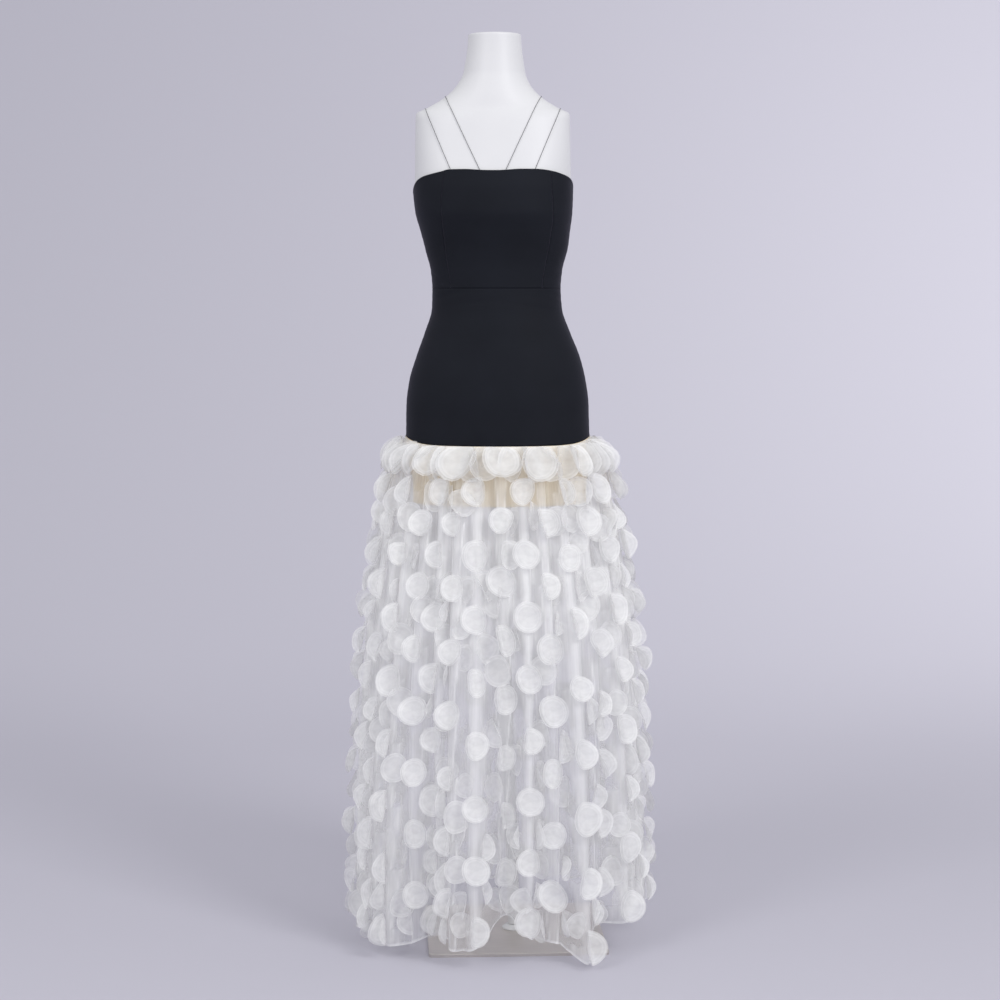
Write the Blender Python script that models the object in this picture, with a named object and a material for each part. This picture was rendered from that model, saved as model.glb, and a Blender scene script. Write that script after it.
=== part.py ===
"""Strapless maxi dress on a limbless dress form with a pole and a steel base plate.

Metres, +Z up. The front of the dress faces -Y, and left and right are as seen from the front.
The floor is at z = 0, under the base plate, and x = y = 0 is the middle of the dress.
"""

import math
import random
from collections import namedtuple

import bmesh
import bpy
from mathutils import Vector

# Cloth thicknesses and the gaps between pieces
CLOTH_CLEARANCE = 0.0010
CREPE = 0.0015
ORGANZA = 0.0010
SEAM_GAP = 0.0003

# Heights of the dress
WAIST_Z = 1.1780
BLACK_HEM_Z = 0.9065
SLIP_HEM_Z = 0.7935
SKIRT_TOP_Z = BLACK_HEM_Z - SEAM_GAP
HEM_Z = 0.0360

# The general figure under the cloth, from the flat underside of the form to its neck.
# Each row is one level section: half width to the sides, depth to the front and to the back,
# and the power of its superellipse, where 2 is an ellipse and more is squarer.
Section = namedtuple("Section", "height centre_x half_width front back power")
FIGURE = (
    Section(0.8260, -0.0010, 0.1510, 0.0990, 0.1090, 2.0),
    Section(0.8700, -0.0030, 0.1590, 0.1070, 0.1190, 2.1),
    Section(0.9090, -0.0040, 0.1625, 0.1100, 0.1240, 2.1),
    Section(0.9700, -0.0045, 0.1614, 0.1100, 0.1260, 2.1),
    Section(1.0132, -0.0045, 0.1559, 0.1070, 0.1230, 2.1),
    Section(1.0563, -0.0035, 0.1440, 0.1010, 0.1130, 2.1),
    Section(1.0994, -0.0045, 0.1277, 0.0940, 0.0990, 2.1),
    Section(1.1423, -0.0055, 0.1141, 0.0860, 0.0870, 2.1),
    Section(1.1780, -0.0063, 0.1125, 0.0830, 0.0815, 2.1),
    Section(1.2100, -0.0063, 0.1153, 0.0850, 0.0810, 2.1),
    Section(1.2450, -0.0063, 0.1243, 0.0910, 0.0840, 2.1),
    Section(1.2800, -0.0085, 0.1312, 0.1010, 0.0880, 2.2),
    Section(1.3130, -0.0110, 0.1377, 0.1095, 0.0920, 2.3),
    Section(1.3500, -0.0122, 0.1400, 0.1080, 0.0945, 2.4),
    Section(1.3870, -0.0125, 0.1392, 0.0970, 0.0930, 2.6),
    Section(1.4300, -0.0128, 0.1385, 0.0830, 0.0880, 2.8),
    Section(1.4770, -0.0128, 0.1376, 0.0710, 0.0805, 2.6),
    Section(1.4862, -0.0128, 0.1370, 0.0680, 0.0770, 2.3),
    Section(1.4950, -0.0128, 0.1196, 0.0650, 0.0735, 2.1),
    Section(1.5161, -0.0118, 0.0851, 0.0615, 0.0680, 2.0),
    Section(1.5354, -0.0112, 0.0666, 0.0570, 0.0620, 2.0),
    Section(1.5582, -0.0100, 0.0555, 0.0520, 0.0570, 2.0),
    Section(1.6255, -0.0094, 0.0475, 0.0470, 0.0510, 2.0),
)
FORM_SIDES = 28
FORM_INSET = 0.0006
FORM_UNDERSIDE_INSET = 0.014
FORM_UNDERSIDE_Z = 0.8200
NECK_TOP_INSET = 0.012
NECK_TOP_Z = 1.6275

# Height of the bodice's top edge round the body: 0 degrees is the front, minus 90 the left side
TopEdge = namedtuple("TopEdge", "angle height")
TOP_EDGE = (
    TopEdge(-180, 1.3350),
    TopEdge(-135, 1.3370),
    TopEdge(-95, 1.3420),
    TopEdge(-86, 1.3495),
    TopEdge(-76, 1.3595),
    TopEdge(-66, 1.3675),
    TopEdge(-56, 1.3728),
    TopEdge(-45, 1.3766),
    TopEdge(-35, 1.3802),
    TopEdge(-26, 1.3840),
    TopEdge(-15, 1.3842),
    TopEdge(0, 1.3822),
    TopEdge(15, 1.3847),
    TopEdge(26, 1.3848),
    TopEdge(40, 1.3824),
    TopEdge(55, 1.3772),
    TopEdge(70, 1.3712),
    TopEdge(82, 1.3630),
    TopEdge(90, 1.3550),
    TopEdge(100, 1.3460),
    TopEdge(135, 1.3380),
    TopEdge(180, 1.3350),
)

# Sideways place of the two front princess seams, from the figure's centre line
Princess = namedtuple("Princess", "height left right")
PRINCESS_SEAMS = (
    Princess(1.1780, -0.0800, 0.0800),
    Princess(1.2450, -0.0890, 0.0900),
    Princess(1.3130, -0.0910, 0.1030),
    Princess(1.3880, -0.0850, 0.1010),
)

# Four hair-thin cords sewn to the top edge, two over each shoulder of the form. Each is given by its
# sideways place, from the figure's centre line, at the front edge, on the shoulder and at the back edge.
Cord = namedtuple("Cord", "name front shoulder back")
SHOULDER_CORDS = (
    Cord("inner", 0.0230, 0.0850, 0.0300),
    Cord("outer", 0.0740, 0.1200, 0.0800),
)
CORD_WIDTH = 0.0010
CORD_THICKNESS = 0.0010
CORD_LIFT = 0.0018
CORD_STEPS = 8
SHOULDER_Z = (1.4300, 1.5354)

# The zip in the centre back seam, as long as the black cloth
ZIP_WIDTH = 0.0040
SLIDER_WIDTH = 0.0060
SLIDER_LENGTH = 0.0100
SLIDER_THICKNESS = 0.0025
SLIDER_BELOW_TOP = 0.0080

# Sections through the outer fold ridges of the organza skirt, each with the depth of its folds
Flare = namedtuple("Flare", "section fold_depth")
SKIRT = (
    Flare(Section(SKIRT_TOP_Z, -0.0040, 0.1672, 0.1147, 0.1287, 2.1), 0.0007),
    Flare(Section(0.8800, -0.0040, 0.1860, 0.1370, 0.1510, 2.1), 0.0060),
    Flare(Section(0.7090, -0.0020, 0.2230, 0.1880, 0.1960, 2.0), 0.0130),
    Flare(Section(0.5260, 0.0000, 0.2470, 0.2200, 0.2250, 2.0), 0.0170),
    Flare(Section(0.2480, 0.0010, 0.2650, 0.2480, 0.2500, 2.0), 0.0210),
    Flare(Section(HEM_Z, 0.0020, 0.2690, 0.2560, 0.2580, 2.0), 0.0240),
)
FOLDS = 32
RIDGE_HALF_WIDTH = 0.0035
FOLD_CROWDING = 0.065
FOLD_UNEVENNESS = 0.022
FOLD_SHIFT = 0.075

# Where the skirt falls back between its forward swells, as degrees round the body, the depth at
# the hem, and how much higher the hem hangs there. The front tip is a negative rise.
Bay = namedtuple("Bay", "angle half_width depth rise")
BAYS = (
    Bay(2, 8, 0.075, 0.045),
    Bay(17, 6, 0.030, 0.000),
    Bay(-31, 8, 0.050, 0.020),
    Bay(33, 6, -0.012, -0.042),
    Bay(47, 7, 0.040, 0.000),
    Bay(-70, 8, 0.020, 0.000),
    Bay(75, 8, 0.018, 0.008),
    Bay(112, 10, 0.026, 0.000),
    Bay(166, 10, 0.036, 0.010),
    Bay(-150, 9, 0.026, 0.000),
    Bay(-110, 9, 0.022, 0.000),
)
BAY_TOP_Z = 0.7500
HEM_SLANT = 0.0200

# Round appliques, sewn down each fold ridge on every second row
DISC_ROWS = 16
FIRST_ROW_Z = 0.8770
LAST_ROW_ABOVE_HEM = 0.0315
DISC_RADIUS = 0.0290
TAPE_HALF_WIDTH = 0.0030
TAPE_LIFT = 0.0008
NEIGHBOUR_LIFT = math.radians(5)
DISC_SEED = 11
RIM_ANGLES = (45, 90, 135)

# The stand
PLATE_SIDE = 0.320
PLATE_THICKNESS = 0.006
PLATE_CORNER = 0.008
PLATE_EDGE = 0.001
PLATE_X = 0.026
PLATE_TURN = 3.0
FLANGE_RADIUS = 0.022
FLANGE_TOP_RADIUS = 0.014
FLANGE_HEIGHT = 0.008
POLE_RADIUS = 0.0110
POLE_SIDES = 20


def smooth_value(rows, key, value, at):
    """The column named value at a place between rows, on a smooth curve through them."""
    xs = [getattr(row, key) for row in rows]
    ys = [getattr(row, value) for row in rows]
    if xs[0] > xs[-1]:
        xs.reverse()
        ys.reverse()
    at = min(max(at, xs[0]), xs[-1])
    i = max(j for j in range(len(xs) - 1) if xs[j] <= at)

    def slope(j):
        if j in (0, len(xs) - 1):
            return 0.0
        before = (ys[j] - ys[j - 1]) / (xs[j] - xs[j - 1])
        after = (ys[j + 1] - ys[j]) / (xs[j + 1] - xs[j])
        if before * after <= 0:
            return 0.0
        return 2 * before * after / (before + after)

    step = xs[i + 1] - xs[i]
    t = (at - xs[i]) / step
    return (
        ys[i] * (2 * t**3 - 3 * t**2 + 1)
        + ys[i + 1] * (3 * t**2 - 2 * t**3)
        + slope(i) * step * (t**3 - 2 * t**2 + t)
        + slope(i + 1) * step * (t**3 - t**2)
    )


def figure_section(z):
    """The figure's level section at a height."""
    return Section(z, *(smooth_value(FIGURE, "height", name, z) for name in Section._fields[1:]))


def on_section(section, angle, out=0.0):
    """A point of a level section, moved out by so much. Angle 0 is the front, and it grows towards +X."""
    sine, cosine = math.sin(angle), math.cos(angle)
    depth = section.front if cosine > 0 else section.back
    bend = 2 / section.power
    return Vector(
        (
            section.centre_x + math.copysign(abs(sine) ** bend, sine) * (section.half_width + out),
            -math.copysign(abs(cosine) ** bend, cosine) * (depth + out),
            section.height,
        )
    )


def top_edge_z(angle):
    """Height of the bodice's top edge at an angle round the body."""
    turn = math.remainder(angle, 2 * math.pi)
    return smooth_value(TOP_EDGE, "angle", "height", math.degrees(turn))


def seam_angle(z, side):
    """Angle of a front princess seam at a height. Side is left or right."""
    section = figure_section(z)
    across = smooth_value(PRINCESS_SEAMS, "height", side, z)
    sine = (abs(across) / section.half_width) ** (section.power / 2)
    return math.copysign(math.asin(sine), across)


def gap_angle(z, gap):
    """The angle that a gap along the cloth takes up at a height."""
    section = figure_section(z)
    return gap / (0.5 * (section.half_width + max(section.front, section.back)))


def make_material(name, colour, roughness, metallic=0.0, alpha=1.0):
    material = bpy.data.materials.new(name)
    material.use_nodes = True
    shader = material.node_tree.nodes["Principled BSDF"]
    shader.inputs["Base Color"].default_value = (*colour, 1.0)
    shader.inputs["Roughness"].default_value = roughness
    shader.inputs["Metallic"].default_value = metallic
    shader.inputs["Alpha"].default_value = alpha
    return material


def add_object(name, bm, material):
    """Makes a named object from a bmesh, shaded smooth apart from its sharp edges."""
    bm.normal_update()
    mesh = bpy.data.meshes.new(name)
    bm.to_mesh(mesh)
    bm.free()
    mesh.materials.append(material)
    mesh.shade_smooth()
    mesh.set_sharp_from_angle(angle=math.radians(40))
    obj = bpy.data.objects.new(name, mesh)
    bpy.context.scene.collection.objects.link(obj)
    return obj


def sheet_mesh(rows, closed=False):
    """A sheet of quads through rows of points. Rows run upwards, and points anticlockwise from above."""
    bm = bmesh.new()
    grid = [[bm.verts.new(point) for point in row] for row in rows]
    columns = len(rows[0])
    for lower, upper in zip(grid, grid[1:]):
        for i in range(columns if closed else columns - 1):
            j = (i + 1) % columns
            bm.faces.new((lower[i], lower[j], upper[j], upper[i]))
    return bm


def add_cloth(name, bm, material, thickness, outwards=True):
    """A cloth piece: the sheet of a bmesh, given its thickness to one side."""
    obj = add_object(name, bm, material)
    solidify = obj.modifiers.new("Cloth thickness", "SOLIDIFY")
    solidify.thickness = thickness
    solidify.offset = 1.0 if outwards else -1.0
    solidify.use_even_offset = True
    return obj


def make_form(material):
    """The smooth limbless form: neck, shoulders cut off flat, waist and hips, closed below."""
    angles = [2 * math.pi * i / FORM_SIDES for i in range(FORM_SIDES)]
    rings = [[on_section(section, angle, -FORM_INSET) for angle in angles] for section in FIGURE]
    foot = FIGURE[0]._replace(height=FORM_UNDERSIDE_Z)
    top = FIGURE[-1]._replace(height=NECK_TOP_Z)
    rings.insert(0, [on_section(foot, angle, -FORM_UNDERSIDE_INSET) for angle in angles])
    rings.append([on_section(top, angle, -NECK_TOP_INSET) for angle in angles])
    bm = sheet_mesh(rings, closed=True)
    rims = [edge for edge in bm.edges if edge.is_boundary]
    bmesh.ops.holes_fill(bm, edges=rims)
    bmesh.ops.recalc_face_normals(bm, faces=bm.faces)
    return add_object("dress_form", bm, material)


def make_panel(name, material, heights, first_angle, last_angle, columns):
    """One black panel. Heights, first_angle and last_angle are functions of the row or the height."""
    rows = []
    for height in heights:
        row = []
        for i in range(columns + 1):
            share = i / columns
            middle = first_angle(WAIST_Z) * (1 - share) + last_angle(WAIST_Z) * share
            z = height(middle)
            angle = first_angle(z) * (1 - share) + last_angle(z) * share
            z = height(angle)
            row.append(on_section(figure_section(z), angle, CLOTH_CLEARANCE))
        rows.append(row)
    return add_cloth(name, sheet_mesh(rows), material, CREPE)


def level(z):
    return lambda angle: z


def between(z, share):
    """A row of points part of the way from a level height to the top edge."""
    return lambda angle: z + (top_edge_z(angle) - z) * share


def fixed(degrees, gap_side):
    """A straight seam at an angle, drawn back from it by half the seam's gap."""
    return lambda z: math.radians(degrees) + gap_side * gap_angle(z, SEAM_GAP / 2)


def beside_zip(side):
    """The edge of a back panel, a seam gap off the zip. Side is minus 1 for the left panel."""
    return lambda z: angle_at(z, side * (ZIP_WIDTH / 2 + SEAM_GAP), True)


def princess(side, gap_side):
    return lambda z: seam_angle(z, side) + gap_side * gap_angle(z, SEAM_GAP / 2)


def make_black_panels(material):
    """The fitted bodice, cut at the waist, and the hip pieces below it."""
    last_level = 1.3130
    bodice = [level(WAIST_Z + SEAM_GAP), level(1.2100), level(1.2450), level(1.2800), level(last_level)]
    bodice += [between(last_level, 0.5), between(last_level, 1.0)]
    hip = [level(z) for z in (BLACK_HEM_Z, 0.9700, 1.0132, 1.0563, 1.0994, 1.1423, WAIST_Z)]
    pieces = (
        ("bodice_front", bodice, princess("left", 1), princess("right", -1), 9),
        ("bodice_side_left", bodice, fixed(-90, 1), princess("left", -1), 6),
        ("bodice_side_right", bodice, princess("right", 1), fixed(90, -1), 6),
        ("bodice_back_left", bodice, beside_zip(-1), fixed(-90, -1), 9),
        ("bodice_back_right", bodice, fixed(90, 1), beside_zip(1), 9),
        ("hip_front", hip, fixed(-90, 1), fixed(90, -1), 18),
        ("hip_back_left", hip, beside_zip(-1), fixed(-90, -1), 10),
        ("hip_back_right", hip, fixed(90, 1), beside_zip(1), 10),
    )
    for name, heights, first, last, columns in pieces:
        make_panel(name, material, heights, first, last, columns)


def make_zip(tape_material, metal):
    """The closed zip between the two back panels, and its slider near the top."""
    heights = [BLACK_HEM_Z, 0.9700, 1.0132, 1.0563, 1.0994, 1.1423, WAIST_Z]
    heights += [1.2100, 1.2450, 1.2800, 1.3130, top_edge_z(math.pi)]
    rows = []
    for z in heights:
        centre = on_section(figure_section(z), math.pi, CLOTH_CLEARANCE)
        rows.append([centre + Vector((side * ZIP_WIDTH / 2, 0, 0)) for side in (1, -1)])
    add_cloth("zip_chain", sheet_mesh(rows), tape_material, CREPE)
    slider_z = top_edge_z(math.pi) - SLIDER_BELOW_TOP
    seat = on_section(figure_section(slider_z), math.pi, CLOTH_CLEARANCE + CREPE)
    bm = bmesh.new()
    bmesh.ops.create_cube(bm, size=1.0)
    bmesh.ops.scale(bm, verts=bm.verts, vec=(SLIDER_WIDTH, SLIDER_THICKNESS, SLIDER_LENGTH))
    upright = [edge for edge in bm.edges if abs((edge.verts[0].co - edge.verts[1].co).y) > SLIDER_THICKNESS / 2]
    bmesh.ops.bevel(bm, geom=upright, offset=0.0015, segments=1, profile=0.5, affect="EDGES", material=-1)
    slider = add_object("zip_slider", bm, metal)
    slider.location = seat + Vector((0, SLIDER_THICKNESS / 2 + 2 * SEAM_GAP, 0))


def angle_at(z, offset, back):
    """Angle of the figure's point that lies so far from its centre line, on its front or its back."""
    section = figure_section(z)
    angle = math.asin(min(1.0, (abs(offset) / section.half_width) ** (section.power / 2)))
    return math.copysign(math.pi - angle if back else angle, offset)


def edge_height(offset, back):
    """Height of the top edge, with its seam gap, where a cord meets it."""
    z = top_edge_z(math.pi if back else 0.0)
    for _ in range(4):
        z = top_edge_z(angle_at(z, offset, back))
    return z + SEAM_GAP


def shoulder_height(offset):
    """Height of the shoulder's ridge so far from the centre line."""
    low, high = SHOULDER_Z
    for _ in range(30):
        middle = (low + high) / 2
        if figure_section(middle).half_width > abs(offset):
            low = middle
        else:
            high = middle
    return low


def off_figure(z, angle):
    """The direction straight off the figure's surface."""
    here = figure_section(z)
    along = on_section(here, angle + 0.02) - on_section(here, angle - 0.02)
    up = on_section(figure_section(z + 0.002), angle) - on_section(figure_section(z - 0.002), angle)
    return along.cross(up).normalized()


def cord_route(cord, side):
    """Points just off the form under one cord, each with its outward direction, from front edge to back edge."""
    ridge = side * cord.shoulder
    top = shoulder_height(ridge)
    route = []
    for edge, back in ((side * cord.front, False), (side * cord.back, True)):
        bottom = edge_height(edge, back)
        half = []
        for step in range(CORD_STEPS + 1):
            share = math.sin(math.pi / 2 * step / CORD_STEPS)
            z = bottom + (top - bottom) * share
            angle = angle_at(z, edge + (ridge - edge) * share, back)
            out = off_figure(z, angle)
            half.append((on_section(figure_section(z), angle) + out * CORD_LIFT, out))
        route += reversed(half[:-1]) if back else half
    return route


def make_shoulder_cords(material):
    """The thin cords from the front edge over the shoulders to the back edge."""
    for cord in SHOULDER_CORDS:
        for side, side_name in ((-1, "left"), (1, "right")):
            route = cord_route(cord, side)
            rows = []
            for i, (point, out) in enumerate(route):
                before = route[max(i - 1, 0)][0]
                after = route[min(i + 1, len(route) - 1)][0]
                across = (after - before).cross(out).normalized() * CORD_WIDTH / 2
                rows.append([point - across, point + across])
            add_cloth(f"shoulder_cord_{cord.name}_{side_name}", sheet_mesh(rows), material, CORD_THICKNESS)


def make_slip(material):
    """The cream underskirt that hangs from the black hem, inside the organza."""
    columns = 30
    angles = [2 * math.pi * i / columns for i in range(columns)]
    rows = []
    for z in (SLIP_HEM_Z, FIGURE[0].height, 0.8700, SKIRT_TOP_Z):
        section = figure_section(max(z, FIGURE[0].height))._replace(height=z)
        rows.append([on_section(section, angle, CLOTH_CLEARANCE) for angle in angles])
    add_cloth("slip", sheet_mesh(rows, closed=True), material, ORGANZA)


def fold_turn(step):
    """Angle round the skirt of a furrow (whole steps) or of the ridge after it (whole steps and a half)."""
    turn = -math.pi / 2 + 2 * math.pi * step / FOLDS
    shift = FOLD_UNEVENNESS * math.sin(7 * turn) - FOLD_SHIFT
    return turn - FOLD_CROWDING * math.sin(2 * turn) + shift * math.cos(turn) ** 2


def in_bays(turn, value):
    """The sum at an angle of one value of the bays, each fading to its sides."""
    total = 0.0
    for bay in BAYS:
        off = math.remainder(math.degrees(turn) - bay.angle, 360) / bay.half_width
        total += getattr(bay, value) * math.exp(-(off**2))
    return total


def hem_z(turn):
    """Height of the skirt's lower edge."""
    return HEM_Z + HEM_SLANT * math.sin(turn) + in_bays(turn, "rise")


def bay_depth(turn, z):
    """How far the skirt falls back from its widest ring at this angle and height."""
    return in_bays(turn, "depth") * max(0.0, (BAY_TOP_Z - z) / (BAY_TOP_Z - HEM_Z)) ** 1.3


def skirt_point(turn, flare, inwards=0.0):
    """A point of the skirt's outer face on one of its rings."""
    z = hem_z(turn) if flare is SKIRT[-1] else flare.section.height
    point = on_section(flare.section, turn, -inwards - bay_depth(turn, z))
    point.z = z
    return point


def along_ring(flare, turn):
    """Level direction along the skirt at an angle, towards larger angles."""
    ends = [skirt_point(turn + nudge, flare) for nudge in (-0.02, 0.02)]
    ends[1].z = ends[0].z
    return (ends[1] - ends[0]).normalized()


def furrow_share(step):
    """Each furrow's own depth, as a share of its ring's fold depth."""
    return 1.0 + 0.30 * math.sin(2.4 * step + 0.7) + 0.15 * math.sin(5.1 * step)


def ridge_line(fold):
    """Points and level directions down one fold ridge, top ring first."""
    turn = fold_turn(fold + 0.5)
    return [(skirt_point(turn, flare), along_ring(flare, turn)) for flare in SKIRT]


def make_skirt_panel(name, material, first_fold, last_fold):
    """Half of the organza skirt, from the side furrow at first_fold to the one at last_fold."""
    rows = []
    for flare in reversed(SKIRT):
        row = []
        for fold in range(first_fold, last_fold + 1):
            turn = fold_turn(fold)
            share = flare.fold_depth * furrow_share(fold % FOLDS)
            furrow = skirt_point(turn, flare, share)
            if fold in (first_fold, last_fold):
                inside = 1 if fold == first_fold else -1
                furrow += along_ring(flare, turn) * inside * SEAM_GAP / 2
            row.append(furrow)
            if fold < last_fold:
                turn = fold_turn(fold + 0.5)
                ridge = skirt_point(turn, flare)
                across = along_ring(flare, turn) * RIDGE_HALF_WIDTH
                row += [ridge - across, ridge + across]
        rows.append(row)
    return add_cloth(name, sheet_mesh(rows), material, ORGANZA, outwards=False)


Disc = namedtuple("Disc", "z radius left_lift right_lift tail")


def disc_plan():
    """Every disc's row height, radius, how far its two wings are folded out, and how far its tail stands off."""
    pick = random.Random(DISC_SEED)
    plan = []
    for fold in range(FOLDS):
        drop = FIRST_ROW_Z - LAST_ROW_ABOVE_HEM - hem_z(fold_turn(fold + 0.5))
        column = []
        for row in range(fold % 2, DISC_ROWS, 2):
            kind = pick.random()
            if kind < 0.50:
                lifts = [pick.uniform(3, 16), pick.uniform(3, 16)]
            elif kind < 0.80:
                lifts = [pick.uniform(4, 20), pick.uniform(45, 72)]
            else:
                lifts = [pick.uniform(55, 76), pick.uniform(55, 76)]
            if pick.random() < 0.5:
                lifts.reverse()
            radius = DISC_RADIUS * pick.uniform(0.94, 1.06)
            tail = pick.uniform(0.0, 0.003)
            height = FIRST_ROW_Z - drop * row / (DISC_ROWS - 1)
            column.append(Disc(height, radius, math.radians(lifts[0]), math.radians(lifts[1]), tail))
        plan.append(column)
    return plan


def at_height(line, z):
    """The point and level direction of a ridge line at a height."""
    for (upper, upper_along), (lower, lower_along) in zip(line, line[1:]):
        if z >= lower.z:
            share = (upper.z - z) / (upper.z - lower.z)
            return upper.lerp(lower, share), upper_along.lerp(lower_along, share).normalized()
    return line[-1]


def outward(along, down):
    """The direction off the cloth, square to its level direction and to the ridge."""
    return along.cross(-down).normalized()


def clear_lift(lift, centre, along, out, neighbour):
    """A wing's lift, raised where the next ridge stands so far forward that the wing would reach into it."""
    away = at_height(neighbour, centre.z)[0] - centre
    return max(lift, math.atan2(away.dot(out), away.dot(along)) + NEIGHBOUR_LIFT)


def make_disc_column(name, material, lines, fold, column):
    """One column of appliques: half discs either side of the narrow stitched tape down a fold ridge."""
    line = lines[fold]
    bm = bmesh.new()
    last = None
    for disc in column:
        upper, along = at_height(line, disc.z + disc.radius)
        lower, _ = at_height(line, disc.z - disc.radius)
        along = at_height(line, disc.z)[1]
        down = (lower - upper).normalized()
        out = outward(along, down)
        corners = [point for point, _ in line if lower.z < point.z < upper.z]
        bulge = max([0.0] + [(point - upper).dot(out) for point in corners])
        upper = upper + out * (TAPE_LIFT + bulge)
        lower = lower + out * (TAPE_LIFT + bulge + disc.tail)
        down = (lower - upper).normalized()
        out = outward(along, down)
        top = [bm.verts.new(upper + along * side * TAPE_HALF_WIDTH) for side in (-1, 1)]
        bottom = [bm.verts.new(lower + along * side * TAPE_HALF_WIDTH) for side in (-1, 1)]
        if last:
            knots = [last]
            for point, level_along in line:
                if top[0].co.z < point.z < last[0].co.z:
                    raised = point + outward(level_along, down) * TAPE_LIFT
                    knots.append([bm.verts.new(raised + level_along * side * TAPE_HALF_WIDTH) for side in (-1, 1)])
            knots.append(top)
            for above, below in zip(knots, knots[1:]):
                bm.faces.new((below[0], below[1], above[1], above[0]))
        bm.faces.new((bottom[0], bottom[1], top[1], top[0]))
        centre = (upper + lower) / 2
        for side, lift, i in ((-1, disc.left_lift, 0), (1, disc.right_lift, 1)):
            lift = clear_lift(lift, centre, along * side, out, lines[(fold + side) % FOLDS])
            rim = []
            for degrees in RIM_ANGLES:
                beta = math.radians(degrees)
                reach = disc.radius * math.sin(beta) - TAPE_HALF_WIDTH
                sideways = TAPE_HALF_WIDTH + reach * math.cos(lift)
                spot = centre - down * disc.radius * math.cos(beta)
                rim.append(bm.verts.new(spot + along * side * sideways + out * reach * math.sin(lift)))
            outline = [top[i], *rim, bottom[i]]
            bm.faces.new(outline if side < 0 else outline[::-1])
        last = bottom
    return add_cloth(name, bm, material, ORGANZA)


def make_stand(steel, gloss):
    """The base plate, the flange on it and the pole that carries the form."""
    bm = bmesh.new()
    bmesh.ops.create_cube(bm, size=1.0)
    bmesh.ops.scale(bm, verts=bm.verts, vec=(PLATE_SIDE, PLATE_SIDE, PLATE_THICKNESS))
    upright = [edge for edge in bm.edges if abs((edge.verts[0].co - edge.verts[1].co).z) > PLATE_THICKNESS / 2]
    bmesh.ops.bevel(bm, geom=upright, offset=PLATE_CORNER, segments=3, profile=0.5, affect="EDGES", material=-1)
    top = [edge for edge in bm.edges if min(v.co.z for v in edge.verts) > PLATE_THICKNESS * 0.4]
    bmesh.ops.bevel(bm, geom=top, offset=PLATE_EDGE, segments=1, profile=0.5, affect="EDGES", material=-1)
    plate = add_object("stand_plate", bm, steel)
    plate.location = (PLATE_X, 0, PLATE_THICKNESS / 2)
    plate.rotation_euler.z = math.radians(PLATE_TURN)

    bm = bmesh.new()
    bmesh.ops.create_cone(
        bm,
        cap_ends=True,
        segments=24,
        radius1=FLANGE_RADIUS,
        radius2=FLANGE_TOP_RADIUS,
        depth=FLANGE_HEIGHT,
    )
    flange = add_object("stand_flange", bm, gloss)
    flange.location = (PLATE_X, 0, PLATE_THICKNESS + SEAM_GAP + FLANGE_HEIGHT / 2)

    foot = Vector((PLATE_X, 0, PLATE_THICKNESS + FLANGE_HEIGHT + 3 * SEAM_GAP))
    head = Vector((FIGURE[0].centre_x, 0, FORM_UNDERSIDE_Z - 2 * SEAM_GAP))
    axis = head - foot
    lean = POLE_RADIUS * math.hypot(axis.x, axis.y) / axis.length
    foot.z += lean
    head.z -= lean
    bm = bmesh.new()
    bmesh.ops.create_cone(
        bm,
        cap_ends=True,
        segments=POLE_SIDES,
        radius1=POLE_RADIUS,
        radius2=POLE_RADIUS,
        depth=(head - foot).length,
    )
    pole = add_object("stand_pole", bm, gloss)
    pole.location = (foot + head) / 2
    pole.rotation_mode = "QUATERNION"
    pole.rotation_quaternion = (head - foot).to_track_quat("Z", "Y")


def main():
    for obj in list(bpy.data.objects):
        bpy.data.objects.remove(obj)
    crepe = make_material("black crepe", (0.014, 0.016, 0.022), 0.85)
    organza = make_material("ivory organza", (0.86, 0.86, 0.84), 0.55)
    cream = make_material("cream lining", (0.74, 0.66, 0.52), 0.60)
    gloss = make_material("white form", (0.80, 0.80, 0.81), 0.30)
    steel = make_material("brushed steel", (0.42, 0.40, 0.39), 0.35, metallic=1.0)

    make_form(gloss)
    make_stand(steel, gloss)
    make_black_panels(crepe)
    make_zip(crepe, steel)
    make_shoulder_cords(crepe)
    make_slip(cream)
    make_skirt_panel("skirt_front", organza, 0, FOLDS // 2)
    make_skirt_panel("skirt_back", organza, FOLDS // 2, FOLDS)
    lines = [ridge_line(fold) for fold in range(FOLDS)]
    for fold, column in enumerate(disc_plan()):
        make_disc_column(f"disc_column_{fold + 1:02d}", organza, lines, fold, column)


main()
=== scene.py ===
"""Looks of a strapless maxi dress on its form: cloth, appliques, form, stand and light.

Metres, +Z up. The front of the dress faces -Y, and left and right are as seen from the front.
"""

import random
from collections import namedtuple
from math import asin, atan, atan2, copysign, cos, degrees, exp, floor, hypot, pi, radians, remainder, sin

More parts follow.
